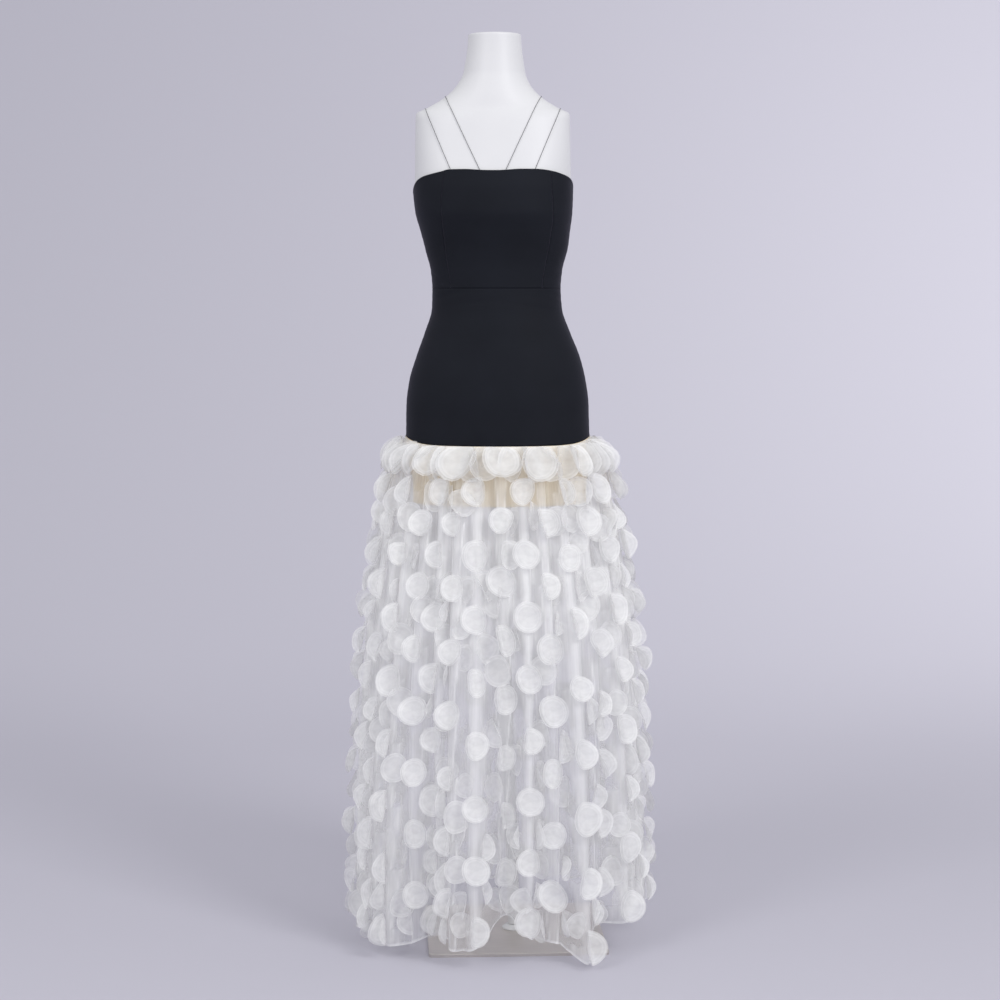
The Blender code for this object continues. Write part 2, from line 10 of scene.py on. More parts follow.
import bmesh
import bpy
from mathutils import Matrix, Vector


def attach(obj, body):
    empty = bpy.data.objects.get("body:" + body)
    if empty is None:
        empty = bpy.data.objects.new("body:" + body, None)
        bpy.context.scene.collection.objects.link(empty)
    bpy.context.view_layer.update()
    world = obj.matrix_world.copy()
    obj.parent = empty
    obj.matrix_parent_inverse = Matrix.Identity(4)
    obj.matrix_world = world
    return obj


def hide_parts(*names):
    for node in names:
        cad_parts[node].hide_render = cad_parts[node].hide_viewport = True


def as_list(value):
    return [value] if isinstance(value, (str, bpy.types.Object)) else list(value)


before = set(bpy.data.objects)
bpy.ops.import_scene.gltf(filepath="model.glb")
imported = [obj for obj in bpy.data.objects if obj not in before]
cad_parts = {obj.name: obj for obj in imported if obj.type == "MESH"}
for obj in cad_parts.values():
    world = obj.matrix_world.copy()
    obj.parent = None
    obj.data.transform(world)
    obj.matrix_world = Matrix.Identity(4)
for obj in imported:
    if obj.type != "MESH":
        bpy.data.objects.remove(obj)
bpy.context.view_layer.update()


def table(columns, *rows):
    """Rows whose values are known by the names of their columns."""
    kind = namedtuple("Row", columns)
    return tuple(kind(*row) for row in rows)


# Cloth thicknesses, and the heights where the pieces of the dress meet
CLOTH_CLEARANCE = 0.0010
CREPE = 0.0015
SLIP_CLOTH = 0.0008
ZIP_TAPE = 0.0006
SEAM_GAP = 0.0003
WAIST_Z = 1.1780
BLACK_HEM_Z = 0.9065
SLIP_HEM_Z = 0.7935
SKIRT_TOP_Z = BLACK_HEM_Z - SEAM_GAP
HEM_Z = 0.0360

# How far the black hem hangs lower at the front, and is lifted at the sides
HEM_DIP = 0.0050
HEM_SIDE_RISE = 0.0070

# The general figure under the cloth, one level section a row, as superellipses
FIGURE = table(
    "height centre_x half_width front back power",
    (0.8260, -0.0010, 0.1510, 0.0990, 0.1090, 2.0),
    (0.8700, -0.0030, 0.1590, 0.1070, 0.1190, 2.1),
    (0.9090, -0.0040, 0.1625, 0.1100, 0.1240, 2.1),
    (0.9700, -0.0045, 0.1614, 0.1100, 0.1260, 2.1),
    (1.0132, -0.0045, 0.1559, 0.1070, 0.1230, 2.1),
    (1.0563, -0.0035, 0.1440, 0.1010, 0.1130, 2.1),
    (1.0994, -0.0045, 0.1277, 0.0940, 0.0990, 2.1),
    (1.1423, -0.0055, 0.1141, 0.0860, 0.0870, 2.1),
    (1.1780, -0.0063, 0.1125, 0.0830, 0.0815, 2.1),
    (1.2100, -0.0063, 0.1153, 0.0850, 0.0810, 2.1),
    (1.2450, -0.0063, 0.1243, 0.0910, 0.0840, 2.1),
    (1.2800, -0.0085, 0.1312, 0.1010, 0.0880, 2.2),
    (1.3130, -0.0110, 0.1377, 0.1095, 0.0920, 2.3),
    (1.3500, -0.0122, 0.1400, 0.1080, 0.0945, 2.4),
    (1.3870, -0.0125, 0.1392, 0.0970, 0.0930, 2.6),
    (1.4300, -0.0128, 0.1385, 0.0830, 0.0880, 2.8),
    (1.4770, -0.0128, 0.1376, 0.0710, 0.0805, 2.6),
    (1.4862, -0.0128, 0.1370, 0.0680, 0.0770, 2.3),
    (1.4950, -0.0128, 0.1196, 0.0650, 0.0735, 2.1),
    (1.5161, -0.0118, 0.0851, 0.0615, 0.0680, 2.0),
    (1.5354, -0.0112, 0.0666, 0.0570, 0.0620, 2.0),
    (1.5582, -0.0100, 0.0555, 0.0520, 0.0570, 2.0),
    (1.6255, -0.0094, 0.0475, 0.0470, 0.0510, 2.0),
)
FORM_INSET = 0.0004
FORM_UNDERSIDE_Z = 0.8200
FORM_UNDERSIDE_INSET = 0.014
NECK_TOP_Z = 1.6275
NECK_ROUND = 0.0035

# Height of the bodice's top edge round the body: 0 degrees is the front, minus 90 the left side
TOP_EDGE = table(
    "angle height",
    (-180, 1.3350),
    (-135, 1.3370),
    (-95, 1.3420),
    (-86, 1.3495),
    (-76, 1.3595),
    (-66, 1.3675),
    (-56, 1.3728),
    (-45, 1.3766),
    (-35, 1.3802),
    (-26, 1.3840),
    (-15, 1.3842),
    (0, 1.3822),
    (15, 1.3847),
    (26, 1.3848),
    (40, 1.3824),
    (55, 1.3772),
    (70, 1.3712),
    (82, 1.3630),
    (90, 1.3550),
    (100, 1.3460),
    (135, 1.3380),
    (180, 1.3350),
)

# Sideways place of the two front princess seams, from the figure's centre line
PRINCESS_SEAMS = table(
    "height left right",
    (1.1780, -0.0800, 0.0800),
    (1.2450, -0.0890, 0.0900),
    (1.3130, -0.0910, 0.1030),
    (1.3880, -0.0850, 0.1010),
)

# Seams that roll in, the fine puckers beside them, and edges that are turned under
SEAM_ROLL = 0.0024
SEAM_DEPTH = 0.0009
WAIST_SEAM_DEPTH = 0.0004
PUCKER = 0.0002
PUCKER_WAVE = 0.0021
PUCKER_REACH = 0.0090
TURNED_EDGE = 0.0080
TURNED_LIFT = 0.0005

# Soft creases of the crepe: place round the body in degrees, height, length and width, slope and
# depth. Beside each, the cloth stands up by a share of its depth.
CREASES = table(
    "angle height length width slope depth",
    (-62, 1.196, 0.050, 0.007, -0.30, 0.0009),
    (-48, 1.166, 0.060, 0.008, 0.22, 0.0010),
    (58, 1.199, 0.055, 0.008, 0.28, 0.0008),
    (70, 1.163, 0.045, 0.007, -0.20, 0.0009),
    (-20, 1.152, 0.070, 0.010, 0.12, 0.0007),
    (28, 1.146, 0.060, 0.009, -0.15, 0.0006),
    (128, 1.202, 0.060, 0.009, 0.25, 0.0012),
    (150, 1.171, 0.050, 0.008, 0.10, 0.0013),
    (-132, 1.195, 0.055, 0.008, -0.22, 0.0012),
    (-156, 1.165, 0.060, 0.009, -0.08, 0.0012),
    (100, 0.962, 0.050, 0.010, 0.35, 0.0008),
    (-104, 0.948, 0.055, 0.010, -0.30, 0.0008),
)
CREASE_SWELL = 0.4

# Four hair-thin cords over the shoulders, by their sideways places from the figure's centre line
SHOULDER_CORDS = table(
    "name front shoulder back",
    ("inner", 0.0230, 0.0850, 0.0300),
    ("outer", 0.0740, 0.1200, 0.0800),
)
CORD_RADIUS = 0.0004
CORD_LIFT = 0.0012
CORD_STEPS = 40
SHOULDER_Z = (1.4300, 1.5354)

# The zip in the centre back seam
ZIP_WIDTH = 0.0040
ZIP_SINK = 0.0007
TOOTH_PITCH = 0.0016
TOOTH_SIZE = (0.0021, 0.0008, 0.0010)
TOOTH_OFFSET = 0.0004
SLIDER_WIDTH = 0.0060
SLIDER_LENGTH = 0.0100
SLIDER_THICKNESS = 0.0025
SLIDER_BELOW_TOP = 0.0080

# The slip: its flat size, how far it stands off once it hangs free, and how deep its soft folds are
SLIP_FLAT = (0.900, 0.113)
SLIP_HANGS_FREE = 0.050
SLIP_STANDS_OFF = 0.0022
SLIP_FOLD = 0.0015

# Each half of the organza skirt, flat, and the points of its mesh
ORGANZA_FLAT = (1.25, 0.89)
COLUMNS_A_FOLD = 14
SKIRT_ROWS = 150

# Sections through the outer fold ridges of the organza skirt, each with the depth of its folds
SKIRT = table(
    "height centre_x half_width front back power fold_depth",
    (SKIRT_TOP_Z, -0.0040, 0.1672, 0.1147, 0.1287, 2.1, 0.0007),
    (0.8800, -0.0040, 0.1860, 0.1370, 0.1510, 2.1, 0.0060),
    (0.7090, -0.0020, 0.2230, 0.1880, 0.1960, 2.0, 0.0130),
    (0.5260, 0.0000, 0.2470, 0.2200, 0.2250, 2.0, 0.0170),
    (0.2480, 0.0010, 0.2650, 0.2480, 0.2500, 2.0, 0.0210),
    (HEM_Z, 0.0020, 0.2690, 0.2560, 0.2580, 2.0, 0.0240),
)
FOLDS = 32
FOLD_CROWDING = 0.065
FOLD_UNEVENNESS = 0.022
FOLD_SHIFT = 0.075
FURROW_SHARPNESS = 1.5

# Small folds on top of the large ones: in the gathers, and their even part, drift and pleats below
GATHER_DEPTH = 0.060
GATHER_FOLD = 0.0007
SOFT_FOLD = 0.0014
SOFT_DRIFT = 0.0006
SOFT_PLEAT = 0.0004

# Where the skirt falls back between its forward swells, as degrees round the body, the depth at
# the hem, and how much higher the hem hangs there. The front tip is a negative rise.
BAYS = table(
    "angle half_width depth rise",
    (2, 8, 0.075, 0.045),
    (17, 6, 0.030, 0.000),
    (-31, 8, 0.050, 0.020),
    (33, 6, -0.012, -0.042),
    (47, 7, 0.040, 0.000),
    (-70, 8, 0.020, 0.000),
    (75, 8, 0.018, 0.008),
    (112, 10, 0.026, 0.000),
    (166, 10, 0.036, 0.010),
    (-150, 9, 0.026, 0.000),
    (-110, 9, 0.022, 0.000),
)
BAY_TOP_Z = 0.7500
BAY_GROWTH = 1.3
HEM_SLANT = 0.0200

# How dense the sheer cloth looks: in the clear furrows, over the round folds and down their edges,
# at its rolled hem, at the side seams, in its gathers and in a broad band round UPPER_Z
SHEER_FURROW = 0.22
SHEER_FOLD = 0.30
SHEER_EDGE = 0.32
SHEER_HEM = 0.85
SHEER_SEAM = 0.60
SHEER_GATHER = 0.35
SHEER_UPPER = 0.36
UPPER_Z = 0.66
UPPER_SPREAD = 0.24
HEM_ROLL = 0.0035

# Half the width of the round folds, in folds, under an applique and just above the next one
BAR_BELOW = 0.31
BAR_ABOVE = 0.11

# Round appliques, sewn down each fold ridge on every second row
DISC_ROWS = 16
FIRST_ROW_Z = 0.8770
LAST_ROW_ABOVE_HEM = 0.0315
DISC_RADIUS = 0.0290
DISC_SEED = 11
WING_COLUMNS = 3
WING_ROWS = 10

# How far an applique's two wings are folded out, in degrees: flat, half folded or folded. The limit is
# the share of all appliques up to this kind.
FOLD_KINDS = table(
    "limit one_wing other_wing",
    (0.50, (3, 16), (3, 16)),
    (0.80, (4, 20), (45, 72)),
    (1.00, (55, 76), (55, 76)),
)
NEIGHBOUR_LIFT = radians(5)
MOST_LIFT = radians(80)
SHARP_FOLD = radians(35)

# The large appliques as they hang: share of the planned radius, how far they and their tails stand off,
# and their turn in radians, less where folded. Folded wings open a little, and some flat ones lift.
DISC_SIZE = (0.80, 1.00)
DISC_SEWN_OFF = 0.0008
DISC_TAIL = (0.001, 0.008)
DISC_TURN = 0.45
FOLDED_TURN = 0.4
FOLDED_SHARE = (0.45, 0.85)
LIFTED_CHANCE = 0.4
LIFTED_MORE = (8, 24)

# The first row, whose appliques are larger, most at the front and the back, and are turned further
FIRST_ROW_SIZE = 1.24
FIRST_ROW_EXTRA = 0.16
FIRST_ROW_RAISE = 0.0040
FIRST_ROW_TURN = 1.5

# Smaller appliques on the flanks of the folds, between the rows of the large ones: how many, always two
# in the full rows, distance from the ridge in folds and from the row in rows, share of the radius, how
# steep their wings are in degrees, and their turn in radians
FLANK_COUNTS = (0, 1, 1, 2, 2)
FULL_ROWS = (0, 14, 15)
FLANK_SHIFT = (0.12, 0.38)
FLANK_DRIFT = 0.35
FLANK_SIZE = (0.74, 1.00)
FLANK_STEEPEST = 38
FIRST_ROW_STEEPEST = 74
FLANK_TURN = 0.6
FLANK_SEWN_SHARE = 0.8
FLANK_SEWN_OFF = 0.003
FLANK_SEED = 23

# A wing bends from its fold out to its rim. A sharply folded one stays straighter.
SOFT_BEND = 0.50
SHARP_BEND = 0.25
RIM_BEND = 1.6

# Each applique's layers, back one first: share of the radius, how much further the wings stand out,
# and the distance between the layers
LAYERS = table(
    "size extra_lift offset",
    (1.00, radians(0), 0.0000),
    (0.90, radians(6), 0.0007),
)

# The stand
PLATE_X = 0.026
FLANGE_RADIUS = 0.022
FLANGE_TOP_RADIUS = 0.014
FLANGE_HEIGHT = 0.008
FLANGE_RIM = 0.002
PLATE_THICKNESS = 0.006
POLE_RADIUS = 0.0110
ROUND_STEPS = 64

# The camera, level with the waist and tilted down, so that its level is so many pixels above the middle
LEVEL_ABOVE_MIDDLE_PX = 210
FOCAL_LENGTH_PX = 2222
CAMERA_TILT = atan(LEVEL_ABOVE_MIDDLE_PX / FOCAL_LENGTH_PX)
CAMERA_DISTANCE = 4.0
CAMERA_Z = 1.1746
CAMERA_LENS = 80

# The room, and its lights: watts, and the spread in degrees
COVE_Y = 1.70
COVE_RADIUS = 4.5
COVE_STEPS = 24
# Depth behind the cove's start over which the backdrop's painted floor shade gives way to its lighter
# colour
PAINTED_FLOOR_SHADE_FADE = 0.9
ROOM_HALF_WIDTH = 12.0
ROOM_FRONT_Y = -12.0
ROOM_LIGHT = 0.71
SOFTBOXES = table(
    "name place aim size power spread",
    ("right softbox", (2.2, -2.7, 3.0), (0.0, 0.0, 1.35), (1.3, 2.2), 65, 180),
    ("left softbox", (-2.2, -2.7, 3.0), (0.0, 0.0, 1.35), (1.3, 2.2), 34, 180),
    ("backdrop light", (3.4, 1.2, 3.2), (1.9, 5.8, 2.0), (1.6, 1.6), 68, 150),
)

# Points of a mesh that are closer than this become one
MERGE = 0.00002


def smooth_value(rows, key, value, at):
    """The column named value at a place between rows, on a smooth curve through them."""
    xs = [getattr(row, key) for row in rows]
    ys = [getattr(row, value) for row in rows]
    if xs[0] > xs[-1]:
        xs.reverse()
        ys.reverse()
    at = min(max(at, xs[0]), xs[-1])
    i = max(j for j in range(len(xs) - 1) if xs[j] <= at)

    def slope(j):
        if j in (0, len(xs) - 1):
            return 0.0
        before = (ys[j] - ys[j - 1]) / (xs[j] - xs[j - 1])
        after = (ys[j + 1] - ys[j]) / (xs[j + 1] - xs[j])
        if before * after <= 0:
            return 0.0
        return 2 * before * after / (before + after)

    step = xs[i + 1] - xs[i]
    t = (at - xs[i]) / step
    return (
        ys[i] * (2 * t**3 - 3 * t**2 + 1)
        + ys[i + 1] * (3 * t**2 - 2 * t**3)
        + slope(i) * step * (t**3 - 2 * t**2 + t)
        + slope(i + 1) * step * (t**3 - t**2)
    )


def smooth_row(rows, z):
    """One row of a table of sections, worked out for any height."""
    kind = type(rows[0])
    return kind(z, *(smooth_value(rows, "height", name, z) for name in kind._fields[1:]))


_figure_rows = {}


def figure_section(z):
    """The figure's level section at a height, remembered for the next call."""
    key = round(z, 6)
    if key not in _figure_rows:
        _figure_rows[key] = smooth_row(FIGURE, z)
    return _figure_rows[key]


def on_section(section, angle, out=0.0):
    """A point of a level section, moved out by so much. Angle 0 is the front, and it grows towards +X."""
    sine, cosine = sin(angle), cos(angle)
    depth = section.front if cosine > 0 else section.back
    bend = 2 / section.power
    return Vector(
        (
            section.centre_x + copysign(abs(sine) ** bend, sine) * (section.half_width + out),
            -copysign(abs(cosine) ** bend, cosine) * (depth + out),
            section.height,
        )
    )


def top_edge_z(angle):
    """Height of the bodice's top edge at an angle round the body."""
    turn = remainder(angle, 2 * pi)
    return smooth_value(TOP_EDGE, "angle", "height", degrees(turn))


def seam_angle(z, side):
    """Angle of a front princess seam at a height. Side is left or right."""
    section = figure_section(z)
    across = smooth_value(PRINCESS_SEAMS, "height", side, z)
    sine = (abs(across) / section.half_width) ** (section.power / 2)
    return copysign(asin(sine), across)


def hem_shift(angle):
    """How far the black hem lies above its level: less than nothing at the front, more at the sides."""
    return (HEM_DIP + HEM_SIDE_RISE) * abs(sin(angle)) ** 8 - HEM_DIP


def gathered_z(angle):
    """Height at which the slip and the organza meet the black hem."""
    return SKIRT_TOP_Z + hem_shift(angle)


def fade(distance, width):
    """A soft bell: 1 at no distance, and nearly 0 past the width."""
    return exp(-((distance / width) ** 2) * 2.5)


# Node materials


def add_node(tree, kind, inputs=None, **settings):
    """Adds a shader node with its settings, and sets or links its inputs."""
    made = tree.nodes.new("ShaderNode" + kind)
    for name, value in settings.items():
        setattr(made, name, value)
    for name, value in (inputs or {}).items():
        socket = made.inputs[name]
        if isinstance(value, bpy.types.NodeSocket):
            tree.links.new(value, socket)
        else:
            socket.default_value = value
    return made


def shader_input(tree, name):
    """The input of that name of a material's principled shader."""
    return tree.nodes["Principled BSDF"].inputs[name]


def new_finish(name, **inputs):
    """A material with a principled shader, whose plain values are given as words, and its nodes."""
    material = bpy.data.materials.new(name)
    material.use_nodes = True
    for key, value in inputs.items():
        words = key.replace("_", " ").title().replace("Ior", "IOR")
        shader_input(material.node_tree, words).default_value = value
    return material, material.node_tree


def stretched(tree, source, scale=(1.0, 1.0, 1.0)):
    """Texture coordinates of one kind, stretched by a Mapping node where a scale is given."""
    coordinates = add_node(tree, "TexCoord")
    mapping = add_node(tree, "Mapping", {"Vector": coordinates.outputs[source], "Scale": scale})
    return mapping.outputs["Vector"]


def noise(tree, vector, scale, detail=2.0, roughness=0.5):
    made = add_node(
        tree, "TexNoise", {"Vector": vector, "Scale": scale, "Detail": detail, "Roughness": roughness}
    )
    return made.outputs["Fac"]


def multiply_add(tree, value, share, plus=0.0, clamp=False):
    """A value times a share, plus a number or another value."""
    inputs = {0: value, 1: share, 2: plus}
    return add_node(tree, "Math", inputs, operation="MULTIPLY_ADD", use_clamp=clamp).outputs[0]


def colour_ramp(tree, factor, *stops):
    """Colours by factor. Each stop is a place from 0 to 1 and a colour."""
    ramp = add_node(tree, "ValToRGB", {"Fac": factor})
    elements = ramp.color_ramp.elements
    while len(elements) < len(stops):
        elements.new(0.5)
    for element, (place, colour) in zip(elements, stops):
        element.position = place
        element.color = (*colour, 1.0)
    return ramp.outputs["Color"]


def set_colour(tree, factor, *stops):
    """Colours a material by a factor, on a ramp between the stops."""
    tree.links.new(colour_ramp(tree, factor, *stops), shader_input(tree, "Base Color"))


def set_bump(tree, height, strength, distance):
    """Gives a material fine relief, of so many metres."""
    bump = add_node(tree, "Bump", {"Height": height, "Strength": strength, "Distance": distance})
    tree.links.new(bump.outputs["Normal"], shader_input(tree, "Normal"))


def crepe_finish():
    """Matte black crepe: a pebbly twisted weave with a faint blue bloom."""
    material, tree = new_finish(
        "black crepe",
        roughness=0.70,
        sheen_weight=0.10,
        sheen_roughness=0.40,
        sheen_tint=(0.60, 0.55, 0.80, 1.0),
        specular_ior_level=0.15,
    )
    pebbles = noise(tree, stretched(tree, "UV", (1.0, 1.6, 1.0)), 900.0, 3.0, 0.6)
    cloud = noise(tree, stretched(tree, "Object"), 9.0, 2.0)
    shade = multiply_add(tree, pebbles, 0.45, multiply_add(tree, cloud, 0.55))
    set_colour(tree, shade, (0.30, (0.0051, 0.0062, 0.0099)), (0.72, (0.0092, 0.0110, 0.0168)))
    set_bump(tree, pebbles, 0.30, 0.0004)
    return material


def thread_finish():
    """Fine dark twisted thread of the shoulder cords."""
    material, tree = new_finish("dark thread", roughness=0.55, specular_ior_level=0.3)
    twist = noise(tree, stretched(tree, "Object"), 600.0, 1.0)
    set_colour(tree, twist, (0.35, (0.030, 0.030, 0.034)), (0.70, (0.075, 0.075, 0.080)))
    return material


def organza_finish():
    """Sheer silk organza: part clear, denser round its folds, with fine slub threads."""
    material, tree = new_finish(
        "ivory organza", roughness=0.50, sheen_weight=0.15, sheen_roughness=0.4, specular_ior_level=0.25
    )
    threads = noise(tree, stretched(tree, "UV", (1.0, 0.02, 1.0)), 260.0, 1.0)
    set_colour(tree, threads, (0.30, (0.91, 0.91, 0.905)), (0.70, (0.95, 0.95, 0.94)))
    density = add_node(tree, "Attribute", attribute_name="Density").outputs["Fac"]
    uneven = multiply_add(tree, threads, 0.06, -0.03)
    tree.links.new(multiply_add(tree, uneven, 1.0, density, clamp=True), shader_input(tree, "Alpha"))
    return material


def applique_finish():
    """Round organza petals, each with a stitched double rim, faint tucks and a denser edge."""
    material, tree = new_finish(
        "organza appliques", roughness=0.50, sheen_weight=0.15, sheen_roughness=0.4, specular_ior_level=0.25
    )
    ring = add_node(tree, "VectorMath", {0: stretched(tree, "UV")}, operation="LENGTH").outputs["Value"]
    rims = ((0.70, 0.0), (0.80, 0.5), (0.87, 0.2), (0.98, 1.0))
    stitches = colour_ramp(tree, ring, *((place, (grey, grey, grey)) for place, grey in rims))
    tucks = noise(tree, stretched(tree, "UV", (0.9, 1.5, 1.0)), 1.2, 2.0, 0.5)
    cloudy = multiply_add(tree, tucks, 0.26, 0.26)
    alpha = multiply_add(tree, stitches, 0.13, cloudy, clamp=True)
    tree.links.new(alpha, shader_input(tree, "Alpha"))
    set_colour(tree, tucks, (0.25, (0.90, 0.90, 0.895)), (0.70, (0.95, 0.95, 0.94)))
    set_bump(tree, multiply_add(tree, stitches, 0.4, tucks), 0.22, 0.0010)
    return material


def lining_finish():
    """Cream satin with long soft threads."""
    material, tree = new_finish("cream lining", roughness=0.38, sheen_weight=0.15, specular_ior_level=0.45)
    threads = noise(tree, stretched(tree, "UV", (1.0, 0.02, 1.0)), 700.0, 2.0)
    set_colour(tree, threads, (0.30, (0.86, 0.68, 0.40)), (0.70, (0.94, 0.78, 0.48)))
    set_bump(tree, threads, 0.10, 0.0003)
    return material


def form_finish():
    """White lacquer with a hardly visible orange peel and a few paler clouds."""
    material, tree = new_finish(
        "white form", roughness=0.48, coat_weight=0.10, coat_roughness=0.30, specular_ior_level=0.35
    )
    place = stretched(tree, "Object")
    peel = noise(tree, place, 260.0, 2.0)
    cloud = noise(tree, place, 7.0, 2.0)
    set_colour(tree, cloud, (0.30, (0.695, 0.695, 0.705)), (0.70, (0.735, 0.735, 0.74)))
    set_bump(tree, peel, 0.06, 0.0004)
    return material


def steel_finish():
    """Brushed steel, the strokes running left to right, with dull patches from handling."""
    material, tree = new_finish("brushed steel", metallic=1.0, roughness=0.40)
    strokes = noise(tree, stretched(tree, "Object", (0.02, 1.0, 1.0)), 1400.0, 3.0, 0.6)
    patches = noise(tree, stretched(tree, "Object"), 14.0, 3.0)
    worn = multiply_add(tree, patches, 0.10, multiply_add(tree, strokes, 0.22, 0.26))
    tree.links.new(worn, shader_input(tree, "Roughness"))
    shade = multiply_add(tree, strokes, 0.6, multiply_add(tree, patches, 0.4))
    set_colour(tree, shade, (0.30, (0.60, 0.565, 0.535)), (0.70, (0.76, 0.72, 0.685)))
    set_bump(tree, strokes, 0.12, 0.0003)
    return material


def enamel_finish():
    """Black enamel of the zip's slider and coil, rubbed a little paler."""
    material, tree = new_finish("black enamel", metallic=0.4, roughness=0.35)
    rubbed = noise(tree, stretched(tree, "Object"), 420.0, 2.0)
    set_colour(tree, rubbed, (0.35, (0.012, 0.012, 0.015)), (0.75, (0.035, 0.035, 0.040)))
    set_bump(tree, rubbed, 0.08, 0.0002)
    return material


def backdrop_finish():
    """Pale lilac paper, with painted shade that makes it a little darker on the floor than where it starts
    to rise.
    """
    material, tree = new_finish("pale backdrop", roughness=0.9, specular_ior_level=0.1)
    depth = add_node(tree, "SeparateXYZ", {"Vector": stretched(tree, "Object")}).outputs["Y"]
    # Painted shade: the colour goes from darker on the floor to lighter where the paper rises, standing in
    # for the change of light over the cove
    rise = add_node(tree, "MapRange", {"Value": depth, "From Min": COVE_Y, "From Max": COVE_Y + PAINTED_FLOOR_SHADE_FADE})
    paper = noise(tree, stretched(tree, "Object"), 3.0, 2.0)
    shade = multiply_add(tree, paper, 0.05, rise.outputs["Result"])
    set_colour(tree, shade, (0.0, (0.558, 0.545, 0.610)), (1.0, (0.580, 0.567, 0.633)))
    return material


# Meshes


def sheet_bmesh(columns, rows, place, flat=(1.0, 1.0), closed=False):
    """A grid bent into a sheet: place gives a point for a share across and a share up.

    Its UV map is the flat cloth in metres. A closed sheet is joined where its sides meet.
    """
    bm = bmesh.new()
    uv = bm.loops.layers.uv.new("Cloth")
    bmesh.ops.create_grid(bm, x_segments=columns, y_segments=rows, size=0.5)
    for face in bm.faces:
        for loop in face.loops:
            across, up = loop.vert.co.x + 0.5, loop.vert.co.y + 0.5
            loop[uv].uv = (across * flat[0], up * flat[1])
    for vert in bm.verts:
        vert.co = place(min(1.0, vert.co.x + 0.5), min(1.0, vert.co.y + 0.5))
    if closed:
        bmesh.ops.remove_doubles(bm, verts=bm.verts, dist=MERGE)
    return bm


def add_line(bm, points):
    """Vertices at some points, and the edges from each to the next."""
    spots = [bm.verts.new(point) for point in points]
    return spots, [bm.edges.new(pair) for pair in zip(spots, spots[1:])]


def add_block(bm, size, middle):
    """A block of a size round its middle. Gives its vertices."""
    block = bmesh.ops.create_cube(bm, size=1.0)["verts"]
    bmesh.ops.scale(bm, verts=block, vec=size)
    bmesh.ops.translate(bm, verts=block, vec=middle)
    return block


def new_object(name, bm, finish):
    """A smooth object made of a bmesh, which is freed."""
    mesh = bpy.data.meshes.new(name)
    bm.to_mesh(mesh)
    bm.free()
    mesh.materials.append(finish)
    mesh.shade_smooth()
    obj = bpy.data.objects.new(name, mesh)
    bpy.context.scene.collection.objects.link(obj)
    return obj


def add_piece(name, bm, finish, replaces=(), smooth=50):
    """Makes a finished piece of a bmesh, which rides on the root body and stands for its CAD nodes."""
    obj = new_object(name, bm, finish)
    obj.data.set_sharp_from_angle(angle=radians(smooth))
    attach(obj, "root")
    if replaces:
        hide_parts(*replaces)
    return obj


def thicken(obj, thickness):
    """Gives a sheet the thickness of its cloth, on its inner side."""
    solidify = obj.modifiers.new("Cloth thickness", "SOLIDIFY")
    solidify.thickness = thickness
    solidify.offset = -1.0
    solidify.use_even_offset = True
    return obj


def make_form(finish):
    """The smooth form with its flat neck top, rounded at the rim, and its rounded lower edge."""
    rim = FIGURE[-1].height - NECK_ROUND
    under_share, side_share, round_share = 0.03, 0.96, 0.98

    def place(across, up):
        angle = 2 * pi * across
        if up < under_share:
            turn = up / under_share * pi / 2
            z = FORM_UNDERSIDE_Z + (FIGURE[0].height - FORM_UNDERSIDE_Z) * (1 - cos(turn))
            inset = FORM_UNDERSIDE_INSET * (1 - sin(turn))
            return on_section(FIGURE[0]._replace(height=z), angle, -FORM_INSET - inset)
        if up < side_share:
            share = (up - under_share) / (side_share - under_share)
            z = FIGURE[0].height + (rim - FIGURE[0].height) * share
            return on_section(figure_section(z), angle, -FORM_INSET)
        top = figure_section(rim)
        if up < round_share:
            turn = (up - side_share) / (round_share - side_share) * pi / 2
            z = rim + NECK_ROUND * sin(turn)
            return on_section(top._replace(height=z), angle, -FORM_INSET - NECK_ROUND * (1 - cos(turn)))
        share = (up - round_share) / (1 - round_share)
        z = rim + NECK_ROUND + (NECK_TOP_Z - rim - NECK_ROUND) * share
        inset = NECK_ROUND + (top.front - 2 * NECK_ROUND) * share
        return on_section(top._replace(height=z), angle, -FORM_INSET - inset)

    bm = sheet_bmesh(144, 240, place, closed=True)
    rims = [edge for edge in bm.edges if edge.is_boundary]
    caps = bmesh.ops.holes_fill(bm, edges=rims)["faces"]
    bmesh.ops.triangulate(bm, faces=caps)
    bmesh.ops.recalc_face_normals(bm, faces=bm.faces)
    return add_piece("form_body", bm, finish, ["dress_form"], smooth=35)


def crease_depth(angle, z, section):
    """How far the crepe's soft creases push it in at a place."""
    total = 0.0
    radius = (section.half_width + section.front) / 2
    for crease in CREASES:
        along = remainder(angle - radians(crease.angle), 2 * pi) * radius
        above = z - crease.height - crease.slope * along
        across = fade(above, crease.width) - CREASE_SWELL * fade(above, 2 * crease.width)
        total += crease.depth * fade(along, crease.length) * across
    return total


def make_panel(name, finish, seams, edges, flat, grid):
    """One black panel between two seams and two edges, rolled in a little along every seam."""
    first_angle, last_angle = seams
    bottom, top = edges

    def place(across, up):
        z = BLACK_HEM_Z
        for _ in range(3):
            angle = first_angle(z) * (1 - across) + last_angle(z) * across
            z = bottom(angle) + (top(angle) - bottom(angle)) * up
        section = figure_section(z)
        radius = (section.half_width + max(section.front, section.back)) / 2
        width = (last_angle(z) - first_angle(z)) * radius
        seam = min(across, 1 - across) * width
        out = CLOTH_CLEARANCE + CREPE
        out -= SEAM_DEPTH * fade(seam, SEAM_ROLL)
        out -= WAIST_SEAM_DEPTH * fade(z - WAIST_Z, SEAM_ROLL)
        out += PUCKER * sin(z / PUCKER_WAVE) * fade(seam, PUCKER_REACH)
        free_edge = top(angle) - z if z > WAIST_Z else z - bottom(angle)
        out += TURNED_LIFT * fade(free_edge, TURNED_EDGE)
        out -= crease_depth(angle, z, section)
        return on_section(section, angle, out)

    bm = sheet_bmesh(*grid, place, flat)
    obj = thicken(add_piece("panel_" + name, bm, finish, [name]), CREPE)


